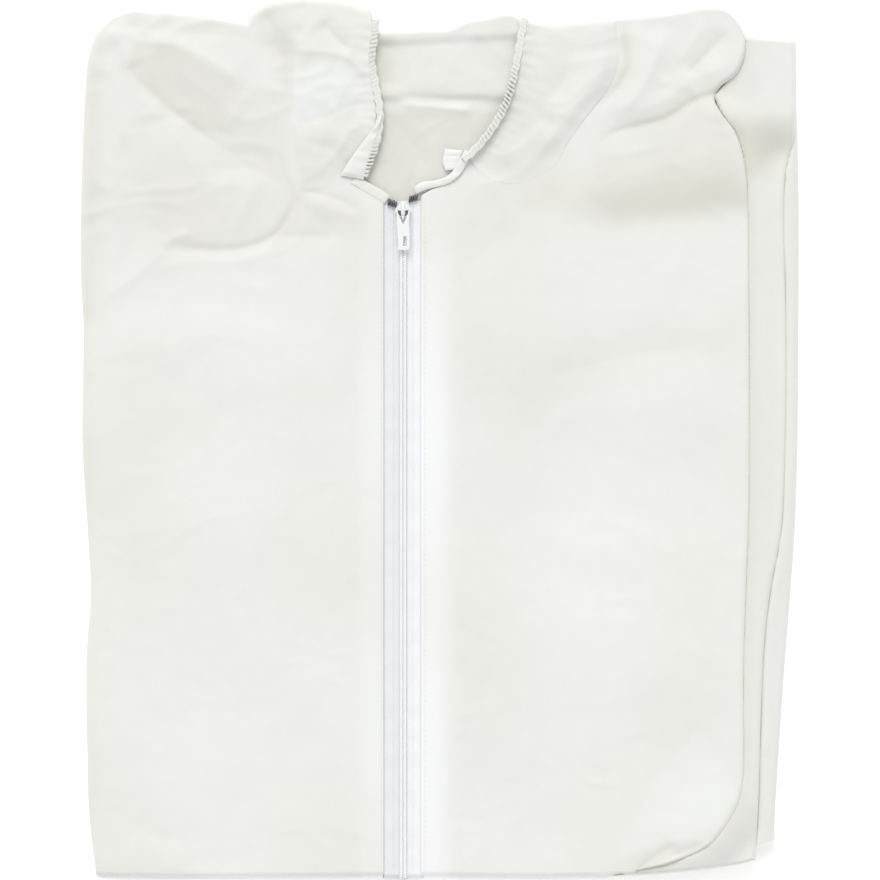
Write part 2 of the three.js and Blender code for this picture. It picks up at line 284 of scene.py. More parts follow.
def add_mesh(name, points, faces, material, tone=None, cool=None):
    """An object from points in mm. `tone` dims or lightens the cloth at each point, mostly with painted
    shade and light, `cool` whitens it.
    """
    mesh = bpy.data.meshes.new(name)
    points = np.asarray(points, float).reshape(-1, 3)
    mesh.vertices.add(len(points))
    mesh.vertices.foreach_set("co", (points * MM).ravel())
    mesh.loops.add(faces.size)
    mesh.loops.foreach_set("vertex_index", faces.astype(np.int32).ravel())
    mesh.polygons.add(len(faces))
    starts = np.arange(0, faces.size, faces.shape[1], dtype=np.int32)
    mesh.polygons.foreach_set("loop_start", starts)
    mesh.polygons.foreach_set("use_smooth", np.ones(len(faces), bool))
    mesh.update(calc_edges=True)
    mesh.validate()
    for label, given, plain in (("tone", tone, 1.0), ("cool", cool, 0.0)):
        values = np.full(len(points), plain) if given is None else np.asarray(given, float).ravel()
        layer = mesh.attributes.new(label, "FLOAT", "POINT")
        layer.data.foreach_set("value", values.astype(np.float32))
    mesh.materials.append(material)
    piece = bpy.data.objects.new(name, mesh)
    bpy.context.scene.collection.objects.link(piece)
    return piece


def tube_mesh(path, radius, sides, closed_ends=True):
    """Points and quads of a tube along a path given in mm."""
    path = np.asarray(path, float)
    ahead = np.gradient(path, axis=0)
    ahead /= np.linalg.norm(ahead, axis=1)[:, None]
    up = np.array([0.0, 0.0, 1.0])
    across = np.cross(ahead, up)
    weak = np.linalg.norm(across, axis=1) < 1e-3
    across[weak] = np.cross(ahead[weak], [0.0, 1.0, 0.0])
    across /= np.linalg.norm(across, axis=1)[:, None]
    lift = np.cross(across, ahead)
    turn = np.linspace(0, 2 * math.pi, sides, endpoint=False)
    radii = np.broadcast_to(np.asarray(radius, float), len(path)).copy()
    if closed_ends:
        radii[0] = radii[-1] = 0.02
    ring = (
        path[:, None]
        + radii[:, None, None] * (np.cos(turn)[None, :, None] * across[:, None]
                                  + np.sin(turn)[None, :, None] * lift[:, None])
    )
    at = np.arange(len(path) * sides).reshape(len(path), sides)
    beside = np.roll(at, -1, axis=1)
    faces = np.stack([at[:-1], beside[:-1], beside[1:], at[1:]], -1).reshape(-1, 4)
    return ring.reshape(-1, 3), faces


def join_meshes(parts):
    """One set of points and faces from several."""
    points, faces, first = [], [], 0
    for part_points, part_faces in parts:
        points.append(part_points)
        faces.append(part_faces + first)
        first += len(part_points)
    return np.concatenate(points), np.concatenate(faces)


# ---------------------------------------------------------------- materials
def new_material(name):
    material = bpy.data.materials.new(name)
    material.use_nodes = True
    tree = material.node_tree
    shader = tree.nodes["Principled BSDF"]
    place = tree.nodes.new("ShaderNodeTexCoord")
    return material, tree, shader, place


def link(tree, source, target):
    tree.links.new(source, target)


def math_node(tree, kind, *values):
    node = tree.nodes.new("ShaderNodeMath")
    node.operation = kind
    for socket, value in zip(node.inputs, values):
        if isinstance(value, (int, float)):
            socket.default_value = value
        else:
            link(tree, value, socket)
    return node.outputs[0]


def noise_node(tree, place, scale, detail, stretch=None):
    source = place.outputs["Object"]
    if stretch:
        mapping = tree.nodes.new("ShaderNodeMapping")
        mapping.inputs["Scale"].default_value = stretch
        link(tree, source, mapping.inputs["Vector"])
        source = mapping.outputs["Vector"]
    node = tree.nodes.new("ShaderNodeTexNoise")
    node.inputs["Scale"].default_value = scale
    node.inputs["Detail"].default_value = detail
    link(tree, source, node.inputs["Vector"])
    return node.outputs["Fac"]


def wave_node(tree, place, direction, scale, distortion):
    node = tree.nodes.new("ShaderNodeTexWave")
    node.bands_direction = direction
    node.inputs["Scale"].default_value = scale
    node.inputs["Distortion"].default_value = distortion
    link(tree, place.outputs["Object"], node.inputs["Vector"])
    return node.outputs["Fac"]


def add_bumps(tree, shader, layers):
    """Chains bump nodes: each layer is (height output, depth in metres, strength)."""
    normal = None
    for height, depth, strength in layers:
        node = tree.nodes.new("ShaderNodeBump")
        node.inputs["Distance"].default_value = depth
        node.inputs["Strength"].default_value = strength
        link(tree, height, node.inputs["Height"])
        if normal is not None:
            link(tree, normal, node.inputs["Normal"])
        normal = node.outputs["Normal"]
    link(tree, normal, shader.inputs["Normal"])


def blended(tree, factor, low, high):
    """A colour between two others."""
    mix = tree.nodes.new("ShaderNodeMix")
    mix.data_type = "RGBA"
    for socket, colour in ((mix.inputs[6], low), (mix.inputs[7], high)):
        if isinstance(colour, tuple):
            socket.default_value = (*colour, 1)
        else:
            link(tree, colour, socket)
    link(tree, factor, mix.inputs[0])
    return mix.outputs[2]


def mesh_value(tree, label):
    node = tree.nodes.new("ShaderNodeAttribute")
    node.attribute_name = label
    return node.outputs["Fac"]


SHADE_WARMTH = (0.82, 1.0, 1.42)            # how strongly a darker tone, mostly painted shade, dims red, green and blue
LINED_WHITE = (0.90, 0.91, 0.925)   # two layers of cloth over each other, or cloth over the zip


def tinted(tree, shader, low, high, factor, powers=SHADE_WARMTH):
    """A colour between two shades; the mesh's cool share whitens it and its tone, mostly painted shade and
    light, dims or lightens it.
    """
    colour = blended(tree, factor, low, high)
    colour = blended(tree, mesh_value(tree, "cool"), colour, LINED_WHITE)
    tone = mesh_value(tree, "tone")
    warm = tree.nodes.new("ShaderNodeCombineXYZ")
    for socket, strength in zip(warm.inputs, powers):
        link(tree, math_node(tree, "POWER", tone, strength), socket)
    scaled = tree.nodes.new("ShaderNodeVectorMath")
    scaled.operation = "MULTIPLY"
    link(tree, colour, scaled.inputs[0])
    link(tree, warm.outputs["Vector"], scaled.inputs[1])
    link(tree, scaled.outputs["Vector"], shader.inputs["Base Color"])


def nonwoven(name, low, high, powers):
    """Spunbond cloth: cloudy fibres, pressed with a close pattern of tiny points."""
    material, tree, shader, place = new_material(name)
    clouds = noise_node(tree, place, 95.0, 4.0)
    tinted(tree, shader, low, high, clouds, powers)
    shader.inputs["Roughness"].default_value = 0.82
    shader.inputs["Specular IOR Level"].default_value = 0.25
    shader.inputs["Sheen Weight"].default_value = 0.12
    shader.inputs["Sheen Roughness"].default_value = 0.5
    points = tree.nodes.new("ShaderNodeTexVoronoi")
    points.inputs["Scale"].default_value = 620.0
    points.inputs["Randomness"].default_value = 0.25
    link(tree, place.outputs["Object"], points.inputs["Vector"])
    pressed = math_node(tree, "SMOOTH_MIN", points.outputs["Distance"], 0.45, 0.2)
    fibres = noise_node(tree, place, 1500.0, 3.0, (1.0, 0.3, 1.0))
    threads = noise_node(tree, place, 900.0, 2.0, (0.25, 1.0, 1.0))
    add_bumps(tree, shader, [
        (clouds, 0.00022, 0.2),
        (pressed, 0.00008, 0.3),
        (fibres, 0.00008, 0.45),
        (threads, 0.00008, 0.3),
    ])
    return material


def woven_tape(name, low, high):
    """Zip tape: a fine twill, ribbed along its length."""
    material, tree, shader, place = new_material(name)
    soft = noise_node(tree, place, 160.0, 3.0)
    tinted(tree, shader, low, high, soft)
    shader.inputs["Roughness"].default_value = 0.7
    shader.inputs["Sheen Weight"].default_value = 0.1
    ribs = wave_node(tree, place, "X", 420.0, 0.6)
    picks = wave_node(tree, place, "Y", 520.0, 0.4)
    add_bumps(tree, shader, [(ribs, 0.00012, 0.5), (picks, 0.0001, 0.5)])
    return material


def hard(name, low, high, roughness, metallic=0.0, grain=400.0, depth=0.00003):
    """Nylon, enamel or metal, with slight mottling."""
    material, tree, shader, place = new_material(name)
    mottling = noise_node(tree, place, grain, 3.0)
    tinted(tree, shader, low, high, mottling)
    shader.inputs["Metallic"].default_value = metallic
    spread = tree.nodes.new("ShaderNodeMapRange")
    spread.inputs["To Min"].default_value = roughness - 0.08
    spread.inputs["To Max"].default_value = roughness + 0.1
    link(tree, mottling, spread.inputs["Value"])
    link(tree, spread.outputs["Result"], shader.inputs["Roughness"])
    add_bumps(tree, shader, [(mottling, depth, 0.4)])
    return material


CLOTH = nonwoven("nonwoven", (0.768, 0.774, 0.742), (0.806, 0.812, 0.780), SHADE_WARMTH)
GATHERED = nonwoven("gathered_cloth", (0.775, 0.778, 0.742), (0.81, 0.815, 0.775), (1.0, 0.96, 1.1))
TAPE_CLOTH = woven_tape("zip_tape", (0.78, 0.81, 0.835), (0.82, 0.85, 0.875))
NYLON = hard("coil_nylon", (0.92, 0.93, 0.95), (0.96, 0.97, 0.985), 0.42)
ENAMEL = hard("slider_enamel", (0.82, 0.84, 0.85), (0.88, 0.89, 0.89), 0.3, grain=250.0)
DARK_METAL = hard("stop_metal", (0.10, 0.10, 0.10), (0.22, 0.22, 0.23), 0.35, metallic=0.8)
THREAD = hard("thread", (0.74, 0.72, 0.62), (0.84, 0.82, 0.74), 0.8, grain=2500.0, depth=0.0001)
WHITE_THREAD = hard("white_thread", (0.78, 0.80, 0.80), (0.88, 0.89, 0.88), 0.8, grain=2500.0)


# ---------------------------------------------------------------- relief of the front
FRONT_FOLDS = [     # path, height, how far it falls away to the left and right, sharpness
    ([(-184, 238), (-160, 235), (-137, 225), (-115, 209)], 1.9, 10, 12, 1.15),
    ([(-188, 222), (-166, 202), (-143, 184), (-114, 165), (-89, 149)], -1.9, 11, 9, 1.1),
    ([(-115, 209), (-122, 196), (-131, 183)], 0.9, 7, 6, 1.2),
    ([(-200, 246), (-189, 235), (-182, 220)], 1.3, 8, 6, 1.2),
    ([(-86, 149), (-91, 134), (-100, 122), (-120, 114.5), (-146, 114.5), (-165, 116)], -1.9, 11, 3, 1.05),
    ([(-166, 114), (-157, 121), (-146, 122)], 1.2, 4, 3, 1.15),
    ([(-88, 147), (-98, 117), (-120, 107), (-150, 106), (-180, 98)], 0.8, 6, 8, 1.3),
    ([(-160, 118), (-179, 99), (-203, 82)], 1.0, 5, 11, 1.2),
    ([(-87, 149), (-66, 145), (-42, 136)], -1.1, 5, 3, 1.1),
    ([(-84, 143), (-64, 137), (-45, 131)], 0.6, 4, 5, 1.3),
    ([(-97, 121), (-82, 122), (-60, 120)], -0.7, 3, 5, 1.1),
    ([(-88, 147), (-76, 134), (-58, 120)], -0.6, 4, 5, 1.15),
    ([(-146, 14), (-102, 23), (-74, 43)], -0.8, 16, 14, 1.5),
    ([(-200, 66), (-170, 58), (-110, 70)], 0.8, 18, 16, 1.5),
    ([(-205, -60), (-150, -50), (-90, -70)], 0.7, 24, 24, 1.6),
    ([(-190, -180), (-120, -160), (-60, -175)], -0.6, 26, 26, 1.6),
    ([(-184, -226), (-166, -238), (-148, -236)], -0.7, 7, 8, 1.4),
    ([(14, 151), (44, 157), (60, 172), (72, 190)], 1.2, 8, 9, 1.3),
    ([(133, 248), (129, 228), (118, 206), (101, 190)], 2.3, 7, 12, 1.15),
    ([(107, 240), (110, 219), (102, 206), (92, 196)], -1.5, 5, 4, 1.1),
    ([(172, 244), (156, 227), (145, 215)], -1.9, 5, 6, 1.1),
    ([(160, 250), (150, 236), (141, 222)], 0.8, 4, 5, 1.2),
    ([(178, 226), (152, 215), (131, 202), (110, 192)], 1.5, 8, 18, 1.2),
    ([(180, 214), (168, 208), (152, 203), (134, 192), (120, 188), (103, 183), (92, 174)],
     -1.9, 8, 3, 1.05),
    ([(176, 205), (168, 197), (163, 188)], 0.8, 4, 4, 1.2),
    ([(56, 34), (100, 48), (168, 57)], -1.3, 15, 12, 1.4),
    ([(50, 8), (110, 20), (175, 30)], 0.7, 16, 20, 1.5),
    ([(20, -60), (90, -40), (160, -66)], -0.7, 24, 26, 1.6),
    ([(180, -214), (168, -233), (148, -244), (128, -251)], -1.2, 4, 6, 1.15),
    ([(158, -240), (150, -246), (141, -252)], -1.1, 3, 4, 1.1),
    ([(142, -240), (128, -248), (114, -258)], -1.3, 3, 5, 1.1),
    ([(-8, 119), (-7, 110), (-6, 101)], -0.9, 3, 3, 1.6),
]


FRONT_CREASE_SHADES = [     # painted shade along fine creases: path, depth, and how far it fades to the left and right
    ([(-86, 149), (-91, 134), (-100, 122), (-120, 114.5), (-146, 114.5), (-165, 116)], 0.07, 2.2, 1.4),
    ([(-186, 236), (-160, 235), (-137, 225), (-115, 209)], 0.05, 1.5, 2.2),
    ([(-188, 222), (-166, 202), (-143, 184), (-114, 165), (-89, 149)], 0.05, 2.2, 1.5),
    ([(-87, 149), (-66, 145), (-42, 136)], 0.05, 2, 2),
    ([(181, 215), (168, 209), (152, 203), (134, 192), (120, 188), (103, 183)], 0.12, 2.0, 1.4),
    ([(109, 250), (110, 238), (111, 224), (106, 211), (100, 204)], 0.12, 3.0, 2.2),
    ([(170, 243), (158, 230), (150, 220)], 0.06, 3, 3),
    ([(145, -239), (136, -244), (126, -250), (112, -260)], 0.07, 3.5, 2.5),
    ([(162, -239), (154, -245), (143, -252), (136, -257)], 0.05, 3, 3),
    ([(181, -204), (178, -219), (171, -232), (160, -244), (140, -254)], 0.05, 2.5, 2.5),
]


FRONT_SHADES = [
    ([(-186, 221), (-183, 237), (-157, 235), (-117, 209), (-131, 183), (-145, 184)], 0.06, 2.0),
    ([(-131, 183), (-117, 209), (-90, 205), (-88, 150)], 0.05, 6.0),
    ([(-188, 252), (-120, 248), (-113, 240), (-150, 242), (-185, 246)], 0.05, 2.0),
    ([(-88, 149), (-42, 137), (-44, 120), (-100, 121)], 0.035, 4.0),
    ([(-165, 116), (-120, 114), (-90, 134), (-88, 150), (-140, 180), (-190, 180)], 0.028, 7.0),
    ([(-230, 260), (-203, 250), (-203, 70), (-230, 70)], 0.055, 7.0),
    ([(-230, 80), (-208, 80), (-205, -280), (-230, -280)], 0.03, 5.0),
    ([(58, 158), (178, 166), (188, 141), (150, 131), (96, 127), (54, 142)], 0.07, 12.0),
    ([(92, 146), (126, 150), (168, 149), (186, 142), (150, 134), (104, 129)], 0.06, 8.0),
    ([(96, 180), (136, 192), (162, 204), (180, 212), (180, 150), (90, 152)], 0.035, 7.0),
    ([(-8, 148), (60, 152), (74, 166), (60, 120), (-8, 120)], 0.02, 9.0),
    ([(104, -250), (128, -247), (158, -240), (174, -232), (168, -260), (100, -268)], 0.035, 6.0),
    ([(-215, -250), (-150, -252), (-140, -270), (-220, -270)], 0.03, 7.0),
    ([(56, 24), (110, 34), (176, 50), (178, 76), (120, 68), (58, 50)], 0.028, 14.0),
    ([(-176, -6), (-104, 2), (-56, 20), (-56, 46), (-110, 32), (-176, 18)], 0.024, 14.0),
]
FRONT_LIGHTS = [
    ([(-180, 112), (-62, 112), (-62, 62), (-190, 66)], -0.02, 12),
    ([(154, -172), (127, -202), (106, -248), (160, -238), (180, -214)], -0.022, 3),
    ([(60, 20), (182, 44), (182, -60), (60, -60)], -0.015, 16),
]


def front_relief(x, y):
    """Height in mm that the front's cloth stands over or under its mean, from its folds."""
    z = 0.9 * waves(x, y, 120, 1, 12) + 0.34 * waves(x, y, 58, 2, 14) + 0.05 * waves(x, y, 20, 9, 14)
    left = ZIP_X - x > 0
    crushed = 0.1 + 0.26 * ease((y - np.where(left, 105, 150)) / 30)
    z = z + crushed * crumple(x, y, 27, 3)
    chest = ease((y - 127 - 0.08 * (x - 120)) / 28) * ease((x - 58) / 45)
    shoulder = ease((y - (NECK_Y - 40)) / 34)
    z = z + 2.7 * chest + 1.4 * shoulder * ease((ZIP_X - 50 - x) / 40)
    corner = smooth_path([(160, -160), (140, -186), (118, -218), (103, -254)], 24)
    distance, side, _ = to_path(corner, x, y)
    z = z + 1.9 * np.where((side > 0) & (y < -150), ease(distance / 46), 0) * ease((-150 - y) / 26)
    return folded(z, x, y, FRONT_FOLDS)


def front_height(x, y):
    """The front's cloth: its relief, calmer beside the zip, and the step of its turned hems."""
    beside_zip = np.abs(x - ZIP_X)
    calm = 0.25 + 0.75 * ease((beside_zip - 10) / 30)
    hem = 0.18 * ease((27 - beside_zip) / 2.5)
    return FRONT_Z + front_relief(x, y) * calm + hem


def front_tone(points):
    """Where the thin cloth looks darker, as painted shade in folds and creases and along its outer edges,
    and over gaps; and lighter, as painted light, round the fold at the hip and on a few lit facets.
    """
    x, y = points[..., 0], points[..., 1]
    tone = tone_of(points)
    tone = dimmed(tone, x, y, FRONT_SHADES)
    for path, depth, left, right in FRONT_CREASE_SHADES:
        tone = tone - fold(x, y, path, depth, left, right, 1.2)
    # painted light on the cloth turning round the fold at the hip
    tone = tone + 0.12 * ease((BOTTOM_Y + 7.5 - y) / 4)
    return dimmed(tone, x, y, FRONT_LIGHTS)


def hem_cool(x, y):
    """The turned-under hems beside the zip, a little whiter than single cloth."""
    beside = x - ZIP_X
    left = ease((beside + 29) / 8) * (beside < 0)
    right = ease((36 - beside) / 18) * (beside > 0)
    return (0.25 * left + 0.66 * right) * (0.35 + 0.65 * ease((126 - y) / 44))


# ---------------------------------------------------------------- cloth sheets
def round_rim(distance, radius):
    """How far up its rounded rim a sheet has come, from 0 at the edge to 1."""
    share = np.clip(distance / radius, 0, 1)
    return np.sqrt(np.clip(1 - (1 - share) ** 2, 0, 1))


def fold_round(points, rise, edge, far_z, bulge, tail):
    """A sheet's points with more rows added at one edge, which carry the cloth round a fold that
    stands out by `bulge`, down to `far_z`, and on under the sheet for `tail` mm."""
    out = -1 if edge == "bottom" else 1
    row = points[0] if edge == "bottom" else points[-1]
    rim = np.clip(rise[0] if edge == "bottom" else rise[-1], 0, 3)
    start_z = row[:, 2] + rim
    far = np.broadcast_to(far_z, start_z.shape)
    middle, half = (start_z + far) / 2, (start_z - far) / 2
    extra = []
    for angle in np.linspace(0, math.pi, 15)[1:]:
        reach = bulge * np.minimum(1, half / 4) - rim
        extra.append(np.stack([
            row[:, 0],
            row[:, 1] + out * np.maximum(reach, 0.3) * math.sin(angle),
            middle + np.maximum(half - rim, 0.1) * math.cos(angle),
        ], -1))
    turned = extra[-1]
    for share in (0.25, 0.6, 1.0):
        end = turned.copy()
        end[:, 1] -= out * tail * share
        extra.append(end)
    extra = np.array(extra)
    return np.concatenate([extra[::-1], points] if edge == "bottom" else [points, extra])


def cloth_sheet(edges, height, rims, step, turn=None):
    """The points of a sheet, in rows. `edges` are its left, right, bottom and top paths. `rims`
    gives (radius, z) for the edges where the sheet rounds off to that z. `turn` is (edge, far z,
    bulge, tail) for an edge where fold_round carries the cloth on."""
    left, right, bottom, top = [np.asarray(e, float) for e in edges]
    wide = max(lengths_along(bottom)[-1], lengths_along(top)[-1])
    long = max(lengths_along(left)[-1], lengths_along(right)[-1])
    flat = coons(left, right, bottom, top, spacing(wide, step), spacing(long, step))
    x, y = flat[..., 0], flat[..., 1]
    z = height(x, y)
    rim_points = (flat[:, :1], flat[:, -1:], flat[:1], flat[-1:])
    lowered = z.copy()
    for edge, rim in zip(EDGES, rim_points):
        if edge not in rims:
            continue
        radius, rim_z = rims[edge]
        here = rim_z + (z - rim_z) * round_rim(np.linalg.norm(flat - rim, axis=-1), radius)
        lowered = np.minimum(lowered, here) if np.mean(z) > rim_z else np.maximum(lowered, here)
    points = np.stack([x, y, lowered], -1)
    return fold_round(points, z - lowered, *turn) if turn else points


def tone_of(points, base=1.0):
    """An even tone with a very slight cloudiness."""
    x, y = points[..., 0], points[..., 1]
    return base + 0.012 * waves(x, y, 70, 51, 10)


def place(piece, slot, body, replaced):
    """Hides the CAD part a piece stands for, and puts the piece on its one body; a piece given
    the two bodies and the stretch of a fold is only fixed where it lies. `slot` is not used."""
    if replaced:
        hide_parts(replaced)
    if isinstance(body, str):
        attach(piece, body)
    else:
        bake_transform(piece)


def add_sheet(name, points, body, replaced=None, material=CLOTH, slot="nonwoven_cloth", tone=None,
              cool=None, flip=False, held="folded", rests_on=()):
    """Adds rows of points as one sheet of cloth."""
    faces = grid_faces(*points.shape[:2], flip=flip)
    piece = add_mesh(name, points, faces, material, tone, cool)
    place(piece, slot, body, replaced)


def add_part(name, meshes, material, slot, body, replaced=None):
    """Adds one hard or threadlike piece made of several meshes."""
    place(add_mesh(name, *join_meshes(meshes), material), slot, body, replaced)


FRONT_HEM = {"left": 11.4, "right": 10.6}   # from the zip's middle to each front's turned edge
WRAP_BULGE = 4.6                            # how far the fold at the hip stands out
WRAP_TAIL = 16                              # how far the front's cloth runs on under the fold
FRONT_STEP = 1.6
FRONT_FOLD_IN = 7.2                         # the front is flat down to this far above the fold


def front_edges():
    """The left, right, bottom and top edges of each half of the front, in mm."""
    zip_left = ZIP_X - FRONT_HEM["left"]
    zip_right = ZIP_X + FRONT_HEM["right"]
    low = BOTTOM_Y + FRONT_FOLD_IN
    left_side = smooth_path(shifted([
        (9, 0), (5, 34), (4, 66), (3.5, 130), (6, 165), (4, 205), (1, 255), (1.6, 325), (0, 360),
        (1.5, 440), (5, 486), (10.5, 501), (17, 507),
    ], LEFT_X, low), 200)
    shoulder_left = smooth_path(
        [left_side[-1]]
        + shifted([(26, 511.5), (33, 513.5), (41, 513), (70, 511), (100, 506)], LEFT_X, low)
        + [(ZIP_X - 44, low + 504)], 120)
    neck_left = np.concatenate([
        smooth_path([(zip_left, low), (zip_left, ZIP_TOP_Y + 1)], 120)[:-1],
        smooth_path([(zip_left, ZIP_TOP_Y + 1), (-40, 149), (-48, 155), (-53, NECK_Y + 3),
                     (-60, NECK_Y + 27), shoulder_left[-1]], 60),
    ])
    bottom_left = smooth_path([left_side[0], (LEFT_X + 60, low - 0.6), (zip_left, low)], 80)
    neck_right = np.concatenate([
        smooth_path([(zip_right, low), (zip_right, ZIP_TOP_Y + 3)], 120)[:-1],
        smooth_path([(zip_right, ZIP_TOP_Y + 3), (-4, 149.6), (4, 152.6), (10, 158), (16, 167),
                     (36, NECK_Y + 27), (52, NECK_Y + 84)], 60),
    ])
    shoulder_right = smooth_path([
        neck_right[-1], (82, 251), (112, 252.6), (136, 255), (158, 258.5), (169, 256.8), (176, 250),
    ], 120)
    right_side = smooth_path(shifted([
        (118, 0.5), (140, 5.7), (160, 15.3), (171, 27.8), (177.8, 40.5), (180.6, 56), (181, 76),
        (180.8, 115), (182.6, 176), (184, 212), (184, 350), (183.4, 400), (181, 424), (175.5, 441),
        (168, 451), (163.5, 460), (167, 467), (176, 474), (181, 484), (181.8, 496), (179.4, 503),
    ], 0, low) + [shoulder_right[-1]], 260)
    bottom_right = smooth_path([(zip_right, low), (60, low - 0.5), right_side[0]], 80)
    return {
        "left": (left_side, neck_left, bottom_left, shoulder_left),
        "right": (neck_right, right_side, bottom_right, shoulder_right),
    }


def build_front():
    edges = front_edges()
    middle_z = (BACK[0][2] + FRONT_LEFT[1][2]) / 2 - 1
    zip_z = TAPE["left"][1][2] + 0.15
    wide = lengths_along(edges["right"][2])[-1]
    x = np.asarray(edges["right"][2])[0, 0] + spacing(wide, FRONT_STEP) * wide
    halves = {      # the rims to the left and right, and the fold's far z and tail
        "left": ((6.0, middle_z), (1.0, zip_z), UNDER_Z, WRAP_TAIL),
        "right": ((2.4, zip_z), (3.4, RIGHT_RIM_Z), UNDER_Z + (middle_z - UNDER_Z) * ease((x - 84) / 24),
                  WRAP_TAIL - 15.5 * ease((x - 62) / 18)),
    }
    for side, (rim_left, rim_right, far_z, tail) in halves.items():
        rims = {"left": rim_left, "right": rim_right, "top": (3.4, middle_z)}
        turn = ("bottom", far_z, WRAP_BULGE, tail)
        points = cloth_sheet(edges[side], front_height, rims, FRONT_STEP, turn)
        add_sheet(f"front_cloth_{side}", points, HIP, f"front_panel_{side}", tone=front_tone(points),
                  cool=hem_cool(points[..., 0], points[..., 1]), rests_on=["back_cloth"])


def build_back():
    low = BOTTOM_Y + 6
    left = smooth_path(shifted([(12, 0), (9, 120), (4, 330), (5, 430), (17, 497)], LEFT_X, low), 160)
    right = smooth_path(shifted([
        (140, 5), (160, 18), (174, 46), (178, 100), (181, 212), (181.5, 380), (178.5, 422), (171, 439),
        (162, 450), (159, 458), (163, 468), (173, 476), (178, 486), (176, 498), (168, 505),
    ], 0, low), 220)
    bottom = smooth_path([left[0], (0, low), (110, low), right[0]], 60)
    top = smooth_path([left[-1], (LEFT_X + 45, low + 503), (0, low + 497), (110, low + 503),
                       right[-1]], 90)
    under = BACK[0][2] + 0.1
    rim_z = BACK[1][2] + 0.5

    def height(x, y):
        """The back lies flat, gathered at the waist."""
        gathers = np.sin(x / 1.7 + 0.8 * waves(x, y, 30, 61, 6)) * bump(y - (BOTTOM_Y + 52), 16)
        return under + 0.2 + 0.15 * waves(x, y, 60, 62) + 0.25 * gathers

    rims = {edge: (2.0, rim_z) for edge in EDGES}
    points = cloth_sheet((left, right, bottom, top), height, rims, 4.0)
    add_sheet("back_cloth", points, "torso", "back_panel", tone=tone_of(points), flip=True)


# ---------------------------------------------------------------- legs
LEG_SIDES = {      # outer edges from the bottom up: x from the layer's far side, and y
    "left": [(2, -262), (0.5, -204), (2, -134), (0, -44), (1.5, 66), (0.5, 166), (0, 240)],
    "thigh": [(-18, -252), (-16, -213), (-14.5, -160), (-12.5, -120), (-9, -90), (-2.5, -54), (0, 0),
              (0.5, 60), (0, 158), (5.5, 181), (6.6, 211), (6.4, 236)],
    "shin": [(-14, -243), (-14.2, -228), (-13, -206), (-11, -175), (-9, -144), (-5.5, -100),
             (-2, -50), (-0.5, 0), (0, 60), (0, 160), (-2.6, 240)],
}


def leg_side(side, layer):
    """The outer edge of a leg's layer, from the bottom up."""
    boxes = THIGH if layer == "thigh" else SHIN
    if side == "left":
        return shifted(LEG_SIDES["left"], boxes[side][0][0] + (3 if layer == "thigh" else 2.5), 0)
    return shifted(LEG_SIDES[layer], boxes[side][1][0], 0)


def beyond(path, x, y):
    """How far outside an edge on the right each point lies."""
    distance, turn, _ = to_path(path, x, y)
    return np.where(turn < 0, distance, -distance)


def beyond_front(x, y):
    """How far outside the front's right edge each point lies."""
    return beyond(front_edges()["right"][1][::6], x, y)


def leg_relief(x, y, seed):
    """The low waves of the legs' cloth."""
    return 0.35 * waves(x, y, 90, seed) + 0.12 * waves(x, y, 30, seed + 1)


# how much shorter the right leg's outer edge is than its inner one, in mm at the bottom and the
# top, and how far its bottom edge has risen by x = 110, 150 and 178
BOTTOM_DROP = {"thigh": 10.5, "shin": 8.0}
TOP_DROP = {"thigh": 2.5, "shin": 6.0}
BOTTOM_RISE = {"thigh": (0.1, 0.38, 0.75), "shin": (0.0, 0.05, 0.22)}
LEG_STEP = 3.0
LEG_SEED = {"left": 70, "right": 80}
CROTCH_ABOVE_ZIP = 8
KNEE_BULGE = 4.3
KNEE_TAIL = 14
THIGH_SHADES = [
    ([(166, 196), (186, 158), (200, 158), (212, 174), (212, 192)], 0.08, 11),
    ([(178, 186), (184, 158), (197, 158), (203, 176)], 0.06, 9),
]


def leg_edges(side, layer, low_y, high_y, near_zip=False):
    """The left, right, bottom and top edges of one layer of a leg."""
    sign = SIDES[side]
    outer = smooth_path(leg_side(side, layer), 400)
    first = low_y + (BOTTOM_DROP[layer] if side == "right" else 0)
    last = high_y - (TOP_DROP[layer] if side == "right" else 0)
    outer = outer[(outer[:, 1] >= first) & (outer[:, 1] <= last)]
    outer[0, 1], outer[-1, 1] = first, last
    if near_zip:
        crotch_y = LOWER_TAPE[side][1][1] + CROTCH_ABOVE_ZIP
        inner = [(FRONT_HEM["right"], low_y), (FRONT_HEM["right"], crotch_y - 10), (6, crotch_y + 2),
                 (0.5, crotch_y + 8), (0.5, high_y)]
        inner = even(np.array([(ZIP_X + sign * a, b) for a, b in inner]), np.linspace(0, 1, 300))
    else:
        inner = smooth_path([(ZIP_X + sign * 0.5, low_y), (ZIP_X + sign * 0.5, high_y)], 200)
    if side == "left":
        across = [[outer[i], (outer[i] + inner[i]) / 2, inner[i]] for i in (0, -1)]
        return outer, inner, smooth_path(across[0], 60), smooth_path(across[1], 60)
    drop = first - low_y
    rising = [(x, low_y + rise * drop) for x, rise in zip((110, 150, 178), BOTTOM_RISE[layer])]
    bottom = smooth_path([inner[0], (60, low_y)] + rising + [outer[0]], 120)
    top = smooth_path([inner[-1], (100, high_y), (176, high_y), outer[-1]], 120)
    return inner, outer, bottom, top


def thigh_tone(points, side):
    tone = tone_of(points)
    if side == "left":
        return tone
    x, y = points[..., 0], points[..., 1]
    # painted shadow of the front's right edge on this layer, just beyond that edge
    tone = tone - 0.07 * bump(beyond_front(x, y) - 1.0, 4)
    tone = dimmed(tone, x, y, THIGH_SHADES)
    return tone - 0.03 * bump(y + 236, 22) * ease((x - 150) / 20)


